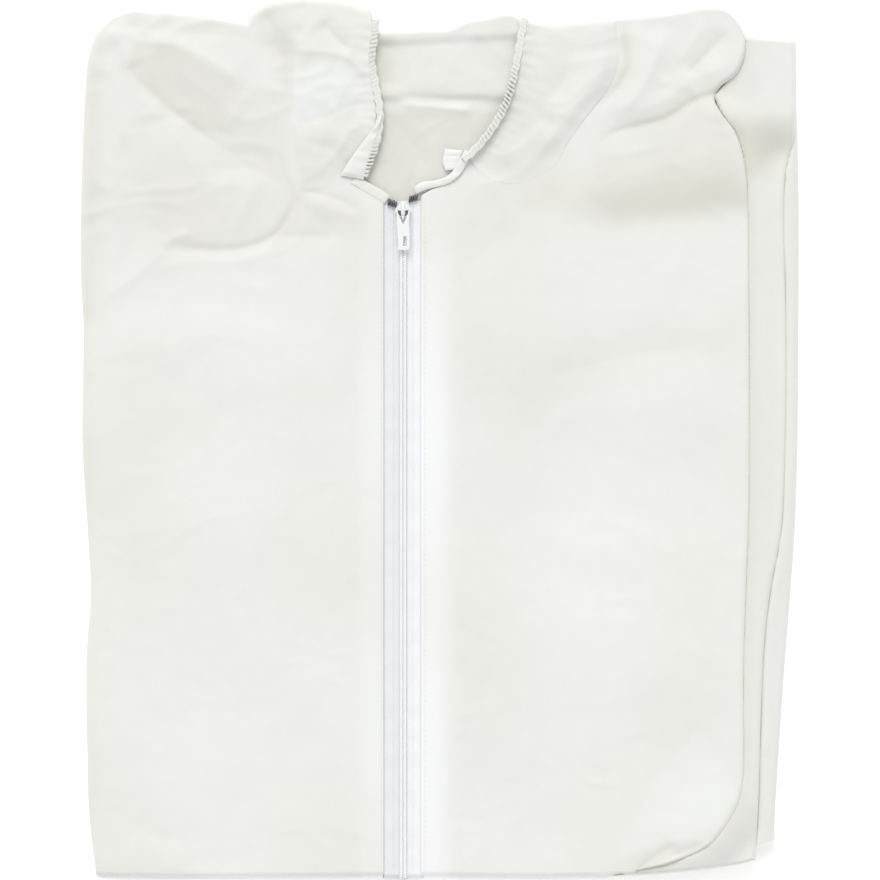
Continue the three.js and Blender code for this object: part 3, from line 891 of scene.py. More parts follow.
def build_leg(side):
    thigh_low, thigh_high = THIGH[side]
    shin_low, shin_high = SHIN[side]
    bottom_y, top_y = BOTTOM_Y + 3, KNEE_Y - 4.5
    body = f"lower_leg_{side}"
    outer, inner = ("left", "right") if side == "left" else ("right", "left")
    seed = LEG_SEED[side]
    middle_z = (thigh_low[2] + thigh_high[2]) / 2
    outer_z = middle_z if side == "left" else thigh_high[2] - 3.2
    shin_middle = (shin_low[2] + shin_high[2]) / 2

    # the upper leg's back, which turns at the knee to lie under the lower leg
    def back_height(x, y):
        z = thigh_high[2] - 0.7 + leg_relief(x, y, seed) * 0.5
        if side == "left":
            return z
        outside = beyond_front(x, y)
        falling = 0.85 * ease((outside - 2) / 18) * (1 - 0.75 * ease((y - NECK_Y - 6) / 26))
        filled = ease((outside + 2.6) / 2.4) * (1 - falling)
        hollow = 2.2 * bump(y - (NECK_Y + 5), 12) * ease((outside - 2) / 10)
        puffed = 4.2 * bump(np.hypot(x - 168, y - 190), 12)
        return z + (RIGHT_RIM_Z + 0.7 + puffed - z) * filled - hollow

    rims = {outer: (3.2, outer_z), inner: (2.0, middle_z), "bottom": (2.0, middle_z)}
    turn = ("top", shin_low[2] + 0.5, KNEE_BULGE, KNEE_TAIL)
    edges = leg_edges(side, "thigh", bottom_y, top_y)
    points = cloth_sheet(edges, back_height, rims, LEG_STEP if side == "left" else 1.5, turn)
    knee = ("upper_legs", body, bend(KNEE_Y, middle_z - 0.2, 2))
    add_sheet(f"thigh_back_{side}", points, knee, tone=thigh_tone(points, side))

    # the upper leg's front, which faces down and carries the lower zip
    def front_down(x, y):
        return thigh_low[2] + 0.35 + 0.1 * leg_relief(x, y, seed + 3)

    rims = {outer: (3.2, outer_z - 0.1), inner: (1.2, thigh_low[2] + 2.2), "bottom": (2.0, middle_z),
            "top": (3.0, middle_z)}
    edges = leg_edges(side, "thigh", bottom_y, top_y - 0.5, near_zip=True)
    points = cloth_sheet(edges, front_down, rims, LEG_STEP)
    add_sheet(f"thigh_front_{side}", points, "upper_legs", f"thigh_{side}", tone=tone_of(points), flip=True)

    # the lower leg: front above, back below, open at the ankle
    low_y = shin_low[1]
    for part, high_y in (("front", top_y + 3), ("back", top_y)):
        up = part == "front"

        def height(x, y, up=up):
            toward_ankle = ease((low_y + 46 - y) / 40)
            level = shin_high[2] - 0.5 if up else shin_low[2] + 0.05
            puff = np.sin(x / 2.1 + 1.3 * waves(x, y, 34, seed + 6, 6)) * toward_ankle
            settle = 0.25 * leg_relief(x, y, seed + 5) if up else 0.0
            if up and side == "right":
                outside = beyond(smooth_path(leg_side("right", "thigh"), 60), x, y)
                filled = ease((outside + 2.0) / 2.0) * (1 - 0.5 * ease((outside - 1) / 12))
                settle = settle + (outer_z + 1.2 - level) * filled
            drawn = -1.1 * toward_ankle if up else 0.9 * toward_ankle
            return level + settle + drawn + 0.45 * puff * (1 if up else 0.4)

        rims = {outer: (2.8, shin_middle), inner: (2.0, shin_middle), "top": (2.6, shin_middle)}
        edges = leg_edges(side, "shin", low_y, high_y)
        points = cloth_sheet(edges, height, rims, LEG_STEP if side == "left" else 1.6)
        # a little painted shade on the strip beyond the front's right edge
        tone = tone_of(points) - 0.01 * (points[..., 0] > RIGHT_X)
        replaced = f"shin_{side}" if up else None
        add_sheet(f"shin_{part}_{side}", points, body, replaced, tone=tone, flip=not up)
    build_cuff(f"ankle_cuff_{side}", f"ankle_elastic_{side}", "y", -1, body, seed)


def build_cuff(name, node, axis, outward, body, seed):
    """A gathered elastic hem: two wavy lips of cloth that close to a flat tube, with its stitches."""
    low, high = box(node)
    along_axis, across_axis = (0, 1) if axis == "y" else (1, 0)
    length = high[along_axis] - low[along_axis]
    depth = high[across_axis] - low[across_axis]
    middle_z, half_z = (low[2] + high[2]) / 2, (high[2] - low[2]) / 2
    start = high[across_axis] if outward < 0 else low[across_axis]

    def ruffle(s, lip):
        return np.sin(s / 0.95 + 1.2 * waves(s, 0 * s, 20, seed + lip, 6))

    def lip_z(s, lip, share):
        taper = np.clip(np.minimum(s, length - s) / 6, 0, 1) ** 0.5
        return taper * half_z * (0.62 + 0.3 * ruffle(s, lip) * (0.5 + 0.5 * share))

    def route(s, reach, z):
        path = np.zeros((len(s), 3))
        path[:, along_axis] = low[along_axis] + s
        path[:, across_axis] = start + outward * reach
        path[:, 2] = z
        return path

    s = np.linspace(0, length, int(length / 0.9))
    steps = np.arange(0, length, 0.9)
    zigzag = np.where(np.arange(len(steps)) % 2 == 0, 0.15, 0.85)
    lips, tones, stitches = [], [], []
    for lip in (1, -1):
        grid = np.array([
            route(s, share * (depth + 1.2) - 0.6, middle_z + lip * lip_z(s, lip, share))
            for share in np.linspace(0, 1, 7)
        ])
        flip = (lip < 0) == (axis == "y")
        lips.append((grid.reshape(-1, 3), grid_faces(*grid.shape[:2], flip=flip)))
        # painted shade in the hollows of the ruffled lips
        tones.append(np.tile(0.9 + 0.1 * ruffle(s, lip), (len(grid), 1)))
        over = middle_z + lip * (lip_z(steps, lip, zigzag) + 0.12)
        stitches.append(tube_mesh(route(steps, zigzag * depth, over), 0.16, 5))
    piece = add_mesh(name, *join_meshes(lips), CLOTH, np.concatenate(tones))
    place(piece, "elastic_thread", body, node)
    add_part(f"{name}_thread", stitches, THREAD, "elastic_thread", body)


# ---------------------------------------------------------------- sleeves
SLEEVE_SEED = {"left": 110, "right": 120}
# each layer of a folded sleeve: how far it stops short at its far side, its near side, its cuff
# end and its shoulder end, in mm
SLEEVE_LAYERS = [(0.0, 2.0, 4, 0), (3.0, 0.0, 0, 5), (1.2, 5.0, 7, 2)]


def build_sleeve(side):
    """A sleeve folded in three: three flattened loops of cloth on top of each other."""
    sign = SIDES[side]
    low, high = SLEEVE[side]
    parts = []
    seed = SLEEVE_SEED[side]
    pitch = (high[2] - low[2]) / len(SLEEVE_LAYERS)
    for layer, (far_side, near_side, cuff_end, shoulder_end) in enumerate(SLEEVE_LAYERS):
        if side == "left":
            x0, x1 = low[0] + far_side, high[0] - near_side
        else:
            x0, x1 = low[0] + near_side, high[0] - far_side
        y0, y1 = low[1] + cuff_end, high[1] - shoulder_end
        corners = [(-1.5 * sign, y0), (0, y0 + 30), (0, (y0 + y1) / 2), (0, y1 - 40),
                   (-4.0 * sign, y1 - 22), (-12.0 * sign, y1 - 8), (-22.0 * sign, y1)]
        plain = [(-2 * sign, y0), (0, y0 + 30), (0, y1 - 30), (2 * sign, y1)]
        x_out, x_in = (x0 + 3.6, x1) if side == "left" else (x1 - 1.2, x0)
        outer = smooth_path(shifted(corners, x_out, 0), 90)
        inner = smooth_path(shifted(plain, x_in, 0), 90)
        left, right = (outer, inner) if side == "left" else (inner, outer)
        bottom = smooth_path([left[0], ((x0 + x1) / 2, y0 - 0.4), right[0]], 60)
        top = smooth_path([left[-1], ((x0 + x1) / 2, y1 + 0.4), right[-1]], 60)
        base = low[2] + pitch * layer
        rims = {edge: (0.7, base + pitch / 2) for edge in EDGES}
        for up in (1, -1):
            level = base + pitch * (0.94 if up > 0 else 0.06)

            def height(x, y, level=level, up=up):
                return level + 0.05 * waves(x, y, 40, seed + layer) * up - 0.06 * up

            points = cloth_sheet((left, right, bottom, top), height, rims, 4.0)
            parts.append((points.reshape(-1, 3), grid_faces(*points.shape[:2], flip=up < 0)))
    points, faces = join_meshes(parts)
    piece = add_mesh(f"sleeve_cloth_{side}", points, faces, CLOTH, np.full(len(points), 0.985))
    body = f"sleeve_bundle_{side}"
    place(piece, "nonwoven_cloth", body, f"sleeve_{side}")
    build_cuff(f"wrist_cuff_{side}", f"wrist_elastic_{side}", "x", -sign, body, seed)


def build_waist():
    """The narrow elastic drawn into the back at the waist."""
    low, high = box("waist_elastic")
    x, y = np.meshgrid(np.arange(low[0], high[0], 1.1), np.linspace(low[1], high[1], 6))
    z = low[2] + 0.2 + 0.28 * np.sin(x / 1.15 + waves(x, y, 30, 63, 6))
    points = np.stack([x, y, z], -1).reshape(-1, 3)
    add_part("waist_gather", [(points, grid_faces(*x.shape, flip=True))], THREAD, "elastic_thread", "torso",
             "waist_elastic")


# ---------------------------------------------------------------- the zip
ZIP_BULGE = 3.2     # how far the tape stands out as it goes round the fold at the hip


def middle_z(part):
    """Half way up a CAD part's box."""
    return (part[0][2] + part[1][2]) / 2


def zip_path(lift, low_tail):
    """The zip's route in y and z: down the front, round the hip fold and a little way under it.
    `lift` is how far outside the tape's middle it runs."""
    tape_z, lower_z = middle_z(TAPE["left"]), middle_z(LOWER_TAPE["left"])
    turn_y = BOTTOM_Y + 5.5
    straight = np.stack([np.linspace(ZIP_TOP_Y, turn_y, 700), np.full(700, tape_z + lift)], 1)
    middle, half = (tape_z + lower_z) / 2, (tape_z - lower_z) / 2
    angle = np.linspace(0, math.pi, 40)[1:]
    out = turn_y - (ZIP_BULGE + lift) * np.sin(angle)
    turn = np.stack([out, middle + (half + lift) * np.cos(angle)], 1)
    under = np.stack([np.linspace(turn_y, turn_y + low_tail, 60)[1:], np.full(59, lower_z - lift)], 1)
    return np.concatenate([straight, turn, under])


def build_tapes():
    across = np.array([0, 0.5, 1.2, 2.6, 4, 5.2, 6.6, 8, 9.4, 10.6, 11.2])
    tape = dict(material=TAPE_CLOTH, slot="zip_tape_cloth")
    for side, sign in SIDES.items():
        near = (TAPE[side][0][0] if sign > 0 else TAPE[side][1][0]) - sign * 0.5
        route = even(zip_path(0.0, 22), np.linspace(0, 1, 420))
        y = np.repeat(route[:, :1], len(across), 1)
        x = near + sign * np.repeat(across[None], len(route), 0)
        pucker = 0.16 * np.sin(y / 3.1 + 0.9 * waves(y, 0 * y, 26, 131, 6)) * bump(across[None] - 6.5, 3)
        grid = np.stack([x, y, np.repeat(route[:, 1:], len(across), 1) + pucker], -1)
        tone = (1.0 if side == "left" else 1.03) - 0.04 * bump(across[None] - 5.6, 0.5) + 0 * y
        cool = (0.0 if side == "left" else 0.6) + 0 * y
        add_sheet(f"zip_tape_cloth_{side}", grid, ZIP_HIP, f"zip_tape_{side}", tone=tone, cool=cool,
                  flip=sign > 0, **tape)
        low, high = LOWER_TAPE[side]
        gx, gy = np.meshgrid(near + sign * across, np.linspace(low[1] + 4, high[1], 160))
        grid = np.stack([gx, gy, np.full(gx.shape, middle_z(LOWER_TAPE[side]))], -1)
        add_sheet(f"lower_tape_cloth_{side}", grid, "upper_legs", f"lower_zip_tape_{side}",
                  flip=sign > 0, **tape)


COIL_PITCH = 1.3
COIL_WIRE = 0.36
COIL_CORD = 0.62


def coil_along(route, near, sign, rise_sign, start):
    """A nylon coil: wire wound in flattened loops about a route in y and z, with its inner cord."""
    turns = int(lengths_along(route)[-1] / COIL_PITCH)
    steps = turns * 10
    share = np.linspace(0, 1, steps)
    centre = even(route, share)
    ahead = np.gradient(centre, axis=0)
    ahead /= np.linalg.norm(ahead, axis=1)[:, None]
    out = np.stack([-ahead[:, 1], ahead[:, 0]], 1) * rise_sign
    angle = share * turns * 2 * math.pi + start
    wide, tall = 1.1, 0.55
    lateral = near + sign * (wide + wide * np.cos(angle))
    slant = 0.22 * np.cos(angle)
    y = centre[:, 0] + out[:, 0] * tall * np.sin(angle) + ahead[:, 0] * slant
    z = centre[:, 1] + out[:, 1] * tall * np.sin(angle) + ahead[:, 1] * slant
    wire = tube_mesh(np.stack([lateral, y, z], 1), COIL_WIRE, 6)
    cord = centre[::10]
    middle = np.full(len(cord), near + sign * (wide + 0.25))
    return [wire, tube_mesh(np.stack([middle, cord[:, 0], cord[:, 1]], 1), COIL_CORD, 8)]


def build_coils():
    for side, sign in SIDES.items():
        near = (COIL[side][0][0] if sign > 0 else COIL[side][1][0]) - sign * 0.75
        start = math.pi if sign > 0 else 0.0
        path = zip_path(middle_z(COIL[side]) - middle_z(TAPE[side]), 18)
        meshes = coil_along(path[path[:, 0] < ZIP_TOP_Y - 3], near, sign, 1, start)
        add_part(f"coil_{side}", meshes, NYLON, "coil_nylon", ZIP_HIP, f"zip_coil_{side}")
        low, high = LOWER_COIL[side]
        y = np.linspace(low[1] + 22, high[1], 200)
        route = np.stack([y, np.full(200, middle_z(LOWER_COIL[side]))], 1)
        meshes = coil_along(route, near, sign, -1, start)
        add_part(f"lower_coil_{side}", meshes, NYLON, "coil_nylon", "upper_legs", f"lower_zip_coil_{side}")


def stitch_row(name, route, radius, length, pitch):
    """A row of short raised stitches along a path in mm."""
    total = lengths_along(route)[-1]
    meshes = []
    for start in np.arange(1, total - length, pitch):
        path = even(route, np.linspace(start, start + length, 6) / total)
        path[:, 2] += 0.14 * np.sin(np.linspace(0, math.pi, 6)) - 0.04
        meshes.append(tube_mesh(path, [0.05, radius, radius, radius, radius, 0.05], 5, False))
    add_part(name, meshes, WHITE_THREAD, "elastic_thread", "torso")


HEM_STITCHES_AT = 13.0      # from the zip's middle to the stitches on the front's hem
TAPE_STITCHES_AT = 5.9      # and to those that hold the coil to its tape


def build_topstitching():
    """A row of stitches on each front's hem, and one on each half of the zip's tape."""
    y = np.linspace(BOTTOM_Y + 8, ZIP_TOP_Y - 2, 260)
    for side, sign in SIDES.items():
        x = ZIP_X + sign * HEM_STITCHES_AT + 0 * y
        row = np.stack([x, y, front_height(x, y) + 0.1], 1)
        stitch_row(f"topstitch_{side}", row, 0.17, 2.1, 3.0)
        x = ZIP_X + sign * TAPE_STITCHES_AT + 0 * y
        row = np.stack([x, y, 0 * y + TAPE["left"][1][2] + 0.12], 1)
        stitch_row(f"tape_stitch_{side}", row, 0.13, 1.2, 1.9)


def plate(outlines, low_z, high_z, bevel=0.15):
    """Points and faces of a flat plate with rounded rims; the first outline is its outside."""
    curve = bpy.data.curves.new("plate", "CURVE")
    curve.dimensions = "2D"
    curve.fill_mode = "BOTH"
    curve.extrude = ((high_z - low_z) / 2 - bevel) * MM
    curve.bevel_depth = bevel * MM
    curve.bevel_resolution = 2
    curve.offset = -bevel * MM
    for outline in outlines:
        spline = curve.splines.new("POLY")
        spline.points.add(len(outline) - 1)
        for point, (x, y) in zip(spline.points, outline):
            point.co = (x * MM, y * MM, 0, 1)
        spline.use_cyclic_u = True
    holder = bpy.data.objects.new("plate", curve)
    bpy.context.scene.collection.objects.link(holder)
    seen = holder.evaluated_get(bpy.context.evaluated_depsgraph_get())
    mesh = bpy.data.meshes.new_from_object(seen)
    bpy.data.objects.remove(holder)
    bpy.data.curves.remove(curve)
    mesh.calc_loop_triangles()
    points = np.array([v.co for v in mesh.vertices]) / MM
    points[:, 2] += (low_z + high_z) / 2
    faces = np.array([t.vertices for t in mesh.loop_triangles])
    bpy.data.meshes.remove(mesh)
    return points, faces


def closed_outline(points, count):
    """A smooth closed outline through the given points."""
    points = np.array(points, float)
    slopes = (np.roll(points, -1, axis=0) - np.roll(points, 1, axis=0)) / 2
    t = np.linspace(0, 1, 12, endpoint=False)[:, None]
    loop = []
    for i in range(len(points)):
        after = (i + 1) % len(points)
        loop.append(cubic(points[i], points[after], slopes[i], slopes[after], t))
    loop = np.concatenate(loop + [points[:1]])
    return even(loop, np.linspace(0, 1, count, endpoint=False))


def build_slider():
    """The slider's two plates, flanges and post, its bail, and a dark plate for the steel spring of its
    lock, which also stands as painted shade in the gaps seen through the pull's ring."""
    low, high = SLIDER
    y = (low[1] + high[1]) / 2
    half = (high[0] - low[0]) / 2
    top_z = high[2]
    right_half = [(0, 5.1), (1.5, 4.3), (3.6, 1.9), (half + 0.2, 0.2), (half, -1.4), (3.9, -2.6),
                  (3.4, -4.0), (1.8, -4.6)]
    shield = right_half + [(-a, b) for a, b in right_half[::-1][:-1]]
    outline = closed_outline(shifted(shield, ZIP_X, y), 56)
    meshes = [
        plate([outline], top_z - 1.1, top_z + 0.05, 0.4),
        plate([outline], low[2], low[2] + 1.0, 0.3),
    ]
    rim = [(half - 1.1, 1.4), (half - 0.1, 0.6), (half - 0.1, -1.0), (3.5, -4.0), (2.9, -4.0), (3.3, 0)]
    for sign in (-1, 1):
        flange = [(ZIP_X + sign * a, y + b) for a, b in rim]
        meshes.append(plate([flange], TAPE["left"][1][2] + 0.3, top_z - 0.4))
    post = shifted([(-0.25, -1.5), (0.25, -1.5), (0.25, 4.4), (-0.25, 4.4)], ZIP_X, y)
    meshes.append(plate([post], low[2] + 0.5, top_z - 0.5, 0.05))
    add_part("slider_shell", meshes, ENAMEL, "slider_enamel", "slider", "slider_body")

    bail_low, bail_high = BAIL
    reach = (bail_high[1] - bail_low[1]) / 2
    angle = np.linspace(0, math.pi, 24)
    rise = (bail_high[2] - bail_low[2]) * np.abs(np.sin(angle)) ** 0.55
    arch = np.stack([0 * angle + ZIP_X, y + reach * 0.94 * np.cos(angle), bail_low[2] - 0.4 + rise], 1)
    points, faces = tube_mesh(arch, 0.46, 10)
    points[:, 0] = ZIP_X + (points[:, 0] - ZIP_X) * 1.8
    add_part("bail_arch", [(points, faces)], ENAMEL, "slider_enamel", "slider", "slider_bail")

    # a dark plate: the lock's steel spring, and painted shade for the gaps seen through the pull's ring
    spring = [(-3.2, 0.3), (3.2, 0.3), (3.2, -2.2), (1.2, -3.9), (-1.2, -3.9), (-3.2, -2.2)]
    mesh = plate([shifted(spring, ZIP_X, y)], top_z, top_z + 0.3, 0.08)
    add_part("lock_spring_and_gap_shade", [mesh], DARK_METAL, "stop_metal", "slider")


def build_pull():
    """The pull: a plate with a shaped ring hole at the bail and a slot near its end."""
    low, high = PULL
    y = pivot("pull_swing")[1]
    half = (high[0] - low[0]) / 2
    end = low[1] - y
    outside = [(-2.9, 0.2), (-1.4, 0.5), (1.4, 0.5), (2.9, 0.2), (half, -2.2), (half, -5.0),
               (half - 0.1, -8.2), (half + 0.1, -13.0), (half + 0.2, end + 2.2), (half - 0.7, end + 0.4),
               (0.6, end), (0.2 - half, end + 0.5), (0.9 - half, end + 2.4), (0.5 - half, -14.0),
               (-half + 0.1, -8.2), (-half, -5.0), (-half, -2.2)]
    outline = closed_outline(shifted(outside, ZIP_X, y), 90)
    ring = [(-3.0, -0.5), (-1.35, -0.5), (-1.25, -2.4), (0, -6.6), (1.25, -2.4), (1.35, -0.5), (3.0, -0.5),
            (2.9, -2.1), (2.0, -4.6), (0.3, -8.5), (-0.3, -8.5), (-2.0, -4.6), (-2.9, -2.1)]
    slot = [(0.4, 6.0), (2.0, 5.8), (2.3, 0.3), (1.9, 0), (0.3, 0), (0.0, 0.4)]
    holes = [shifted(ring, ZIP_X, y), shifted(shifted(slot, 0, end + 2.4), ZIP_X, y)]
    mesh = plate([outline] + holes, low[2], high[2], 0.2)
    add_part("pull_plate", [mesh], ENAMEL, "slider_enamel", "pull", "pull_tab")


def build_stops():
    """Dark crimped ends at the top of each coil, and one across the bottom of the zip."""
    for side, sign in SIDES.items():
        low, high = box(f"top_stop_{side}")
        middle = (low + high) / 2
        meshes = []
        for i, radius in enumerate((0.75, 0.6, 0.7, 0.5)):
            angle = np.linspace(0, 1.7 * math.pi, 22)
            tilt = (i - 1.5) * 1.4
            x = middle[0] + tilt + 0.25 * np.cos(angle)
            y = middle[1] + 1.5 * np.cos(angle) + sign * 0.3 * tilt
            z = middle[2] + 0.3 + 0.8 * np.sin(angle)
            meshes.append(tube_mesh(np.stack([x, y, z], 1), radius, 8))
        add_part(f"coil_end_{side}", meshes, DARK_METAL, "stop_metal", "torso", f"top_stop_{side}")
    low, high = box("bottom_stop")
    outline = [(low[0], low[1]), (high[0], low[1]), (high[0], high[1]), (low[0], high[1])]
    clamp = plate([outline], low[2], high[2], 0.35)
    add_part("zip_end_clamp", [clamp], DARK_METAL, "stop_metal", "upper_legs", "bottom_stop")


# ---------------------------------------------------------------- the hood
# the front edges of the hood beside the face, from the neck up, and the width of their elastic
FACE = {
    "left": smooth_path([(-43.5, 156), (-38.5, 168), (-34.8, 180), (-33.4, 194.5), (-35.8, 211),
                         (-38.4, 226), (-37, 238), (-35.8, 250)], 140),
    "right": smooth_path([(12.5, 168.5), (21.6, 177), (30.6, 189), (38.4, 204), (43.8, 228),
                          (46.4, 243), (48.0, 251.5)], 140),
}
BAND = 4.4
LOBE_STEP = 1.2


LEFT_LOBE_FOLDS = [
    ([(-92, 232), (-70, 231), (-56, 228), (-42, 214)], 1.6, 7, 5, 1.1),
    ([(-72, 250), (-66, 243), (-60, 237), (-52, 232)], -1.6, 4, 5, 1.2),
    ([(-96, 186), (-74, 190), (-54, 198), (-40, 201)], -1.7, 8, 6, 1.1),
    ([(-106, 256), (-99, 242), (-98, 222)], -1.4, 6, 5, 1.2),
    ([(-84, 262), (-80, 250), (-86, 238)], -1.0, 5, 5, 1.2),
    ([(-88.3, 244), (-88.6, 200), (-87, 150)], -1.1, 1.6, 4.5, 1.05),
    ([(-60, 226), (-58, 206), (-70, 190)], 0.6, 6, 6, 1.2),
    ([(-80, 178), (-64, 172), (-50, 160)], -0.7, 4, 5, 1.2),
    ([(-86, 152), (-70, 162), (-52, 184)], 0.7, 5, 5, 1.2),
]
RIGHT_LOBE_FOLDS = [
    ([(24, 168), (44, 172), (60, 186), (72, 208)], 1.1, 7, 8, 1.2),
    ([(82, 251), (80, 232), (72, 211), (62, 196)], -1.0, 6, 7, 1.15),
    ([(60, 250), (58, 236), (52, 222)], -0.6, 5, 6, 1.15),
]
HOOD_BACK_ROLL = [
    ([(-28, 200.5), (-15, 199.6), (2, 198), (22, 196)], 1.6, 2.2, 3.6, 1.15),
    ([(-30, 205), (-12, 204.4), (14, 203), (34, 204)], -1.3, 2.8, 2.4, 1.2),
]
HOOD_BACK_FOLDS = [
    ([(2, 238), (4, 222), (0, 206)], 0.6, 6, 8, 1.2),
    ([(-30, 192), (-16, 176), (-8, 158)], -0.6, 6, 6, 1.2),
    ([(16, 246), (30, 236), (42, 222)], 0.6, 4, 5, 1.2),
]
LEFT_LOBE_SHADES = [
    ([(-87, 229), (-58, 227), (-45, 212), (-52, 199), (-73, 190), (-87, 187)], -0.035, 1.5),
    ([(-89, 240), (-89, 150), (-110, 160), (-112, 235)], 0.025, 1.5),
    ([(-118, 258), (-98, 262), (-88, 240), (-96, 205), (-112, 240)], 0.03, 6),
    ([(-58, 268), (-30, 262), (-34, 240), (-42, 252)], 0.04, 4),
    ([(-88, 186), (-73, 189), (-52, 197), (-40, 180), (-48, 156), (-86, 150)], 0.035, 2),
]


def lobe_gathers(x, y, side, seed):
    """Small folds that run away from a gathered front edge and die out."""
    distance, _, share = to_path(FACE[side][::6], x, y)
    along = share * lengths_along(FACE[side])[-1]
    wave = np.sin(2 * math.pi * along / 6.0 + 1.5 * waves(x, y, 26, seed, 6))
    return 0.4 * wave * np.exp(-distance / 8)


def add_lobe(side, points, tone, seam):
    """Adds one side of the hood; near its seam it takes on the front's tone, with its painted shade and
    light.
    """
    share = ease(to_path(seam, points[..., 0], points[..., 1])[0] / 12)
    add_sheet(f"hood_lobe_{side}", points, NECK, f"hood_{side}",
              tone=front_tone(points) * (1 - share) + tone * share, rests_on=[f"front_cloth_{side}"])


def build_hood_left():
    base = HOOD["left"][0][2]
    right = FACE["left"] - np.array([BAND - 0.6, 0])
    left = smooth_path([(-84, 147), (-93, 160), (-97, 180), (-99, 205), (-104, 226), (-113, 240),
                        (-115, 250)], 120)
    top = smooth_path([(-115, 250), (-112.5, 255), (-106, 260), (-93, 264), (-76, 264.8), (-60, 263.4),
                       (-50, 260.6), (-42, 256.4), right[-1]], 100)
    bottom = smooth_path([left[0], (-70, 150), right[0]], 60)
    low_edges = np.concatenate([left[::-1], bottom])[::8]

    def height(x, y):
        floor = front_height(x, np.minimum(y, 246))
        rise = ease(to_path(low_edges, x, y)[0] / 30) * (0.55 + 0.45 * ease((y - 165) / 45))
        z = 4.4 * rise + 1.6 * bump(x + 78, 24) * bump(y - 247, 15)
        z = z + 1.1 * bump(x + 54, 13) * bump(y - 238, 15)
        z = folded(z, x, y, LEFT_LOBE_FOLDS)
        z = z + 0.22 * crumple(x, y, 24, 141) * rise + 0.1 * waves(x, y, 20, 142) * rise
        z = z + lobe_gathers(x, y, "left", 143)
        return floor + np.maximum(z, 0.05)

    rims = {"right": (1.2, base + 0.6), "top": (6.0, base - 4.5)}
    points = cloth_sheet((left, right, bottom, top), height, rims, LOBE_STEP)
    x, y = points[..., 0], points[..., 1]
    tone = dimmed(tone_of(points, 0.985), x, y, LEFT_LOBE_SHADES)
    add_lobe("left", points, tone, low_edges)


def build_hood_right():
    base = HOOD["right"][0][2]
    left = FACE["right"] + np.array([BAND - 0.6, 0])
    right = smooth_path([(68, 163), (76, 176), (86, 190), (95, 201), (103, 211), (107.5, 224), (107, 238),
                         (106, 252.2)], 120)
    top = smooth_path([left[-1], (58, 249.8), (72, 249.6), (84, 251), (97, 252.2),
                       right[-1]], 80)
    bottom = smooth_path([left[0], (28, 156), (48, 153), right[0]], 60)

    def height(x, y):
        floor = front_height(x, np.minimum(y, 247))
        rise = ease(to_path(bottom[::6], x, y)[0] / 26)
        edge = to_path(right[::6], x, y)[0]
        z = rise * (0.2 + 2.2 * ease(edge / 11)) + 1.0 * bump(edge - 11, 7) * ease((y - 166) / 14)
        z = z + 1.2 * bump(x - 68, 20) * bump(y - 222, 26)
        z = z + 2.2 * ease((y - 150) / 44) * np.exp(-to_path(left[::8], x, y)[0] / 9)
        z = folded(z, x, y, RIGHT_LOBE_FOLDS)
        z = z + 0.2 * crumple(x, y, 24, 151) * rise + 0.12 * waves(x, y, 24, 152) * rise
        z = z + lobe_gathers(x, y, "right", 153)
        return floor + np.maximum(z, 0.05)

    rims = {"left": (0.8, base + 1.6), "right": (3.0, base - 1.6), "top": (5.0, base - 4.5)}
    points = cloth_sheet((left, right, bottom, top), height, rims, LOBE_STEP)
    x, y = points[..., 0], points[..., 1]
    # painted highlight along the rolled right edge, and painted shade on a patch low beside the face
    tone = tone_of(points, 0.99) + 0.015 * bump(to_path(right[::6], x, y)[0] - 5, 6)
    tone = tone - 0.02 * inside([(14, 168), (46, 214), (72, 206), (66, 170), (40, 156)], x, y, 8)
    add_lobe("right", points, tone, bottom[::6])


def build_hood_back():
    floor = BACK[1][2] + 0.4
    left = smooth_path([(-52, 136), (-58, 165), (-64, 200), (-66, 243)], 100)
    right = smooth_path([(14, 136), (34, 165), (44, 200), (50, 250)], 100)
    bottom = smooth_path([(-52, 136), (-20, 134), (14, 136)], 50)
    top = smooth_path([(-66, 243), (-36, 243), (-10, 244.2), (7, 245.4), (16, 249.6), (30, 252),
                       (42, 254.2), (50, 250)], 90)

    def height(x, y):
        z = floor + 0.9 * ease((y - 140) / 50) + 2.1 * ease((y - 200) / 6)
        z = folded(z, x, y, HOOD_BACK_ROLL)
        z = z + 1.5 * ease((y - 233 - 0.06 * (x + 30)) / 6.0)
        z = z + 0.8 * ease((x - 14) / 8) * ease((y - 234) / 8)
        z = z - 1.6 * bump(x + 33, 7) * ease((y - 206) / 8) * ease((240 - y) / 6)
        z = folded(z, x, y, HOOD_BACK_FOLDS)
        return z + 0.18 * waves(x, y, 28, 161) + 0.12 * crumple(x, y, 18, 162)

    points = cloth_sheet((left, right, bottom, top), height, {"top": (2.2, floor + 0.5)}, 1.3)
    x, y = points[..., 0], points[..., 1]
    # painted shade below the roll across the back of the hood and in the shadow of its left side, and a
    # little at the upper right
    tone = 0.995 - 0.075 * ease((198 - y) / 5) - 0.10 * bump(x + 36, 9) * ease((y - 200) / 8)
    tone = tone - 0.02 * inside([(34, 240), (50, 230), (42, 196), (22, 202)], x, y, 8)
    add_sheet("hood_inside", points, NECK, "hood_back", tone=tone, rests_on=["back_cloth"])


def band_tightness(side, y):
    """How hard the elastic draws its edge in, from 0 to 1, along its length."""
    if side == "left":
        return np.maximum(bump(y - 165, 9), 0.45 * bump(y - 232, 12)) + 0.03
    return np.maximum(bump(y - 206, 14), 0.45 * bump(y - 184, 8)) + 0.03


GATHER_PITCH = 2.5      # from one gathered ridge of the elastic to the next
SLANT = 1.9             # how far the ridges lean along the edge over the band's width


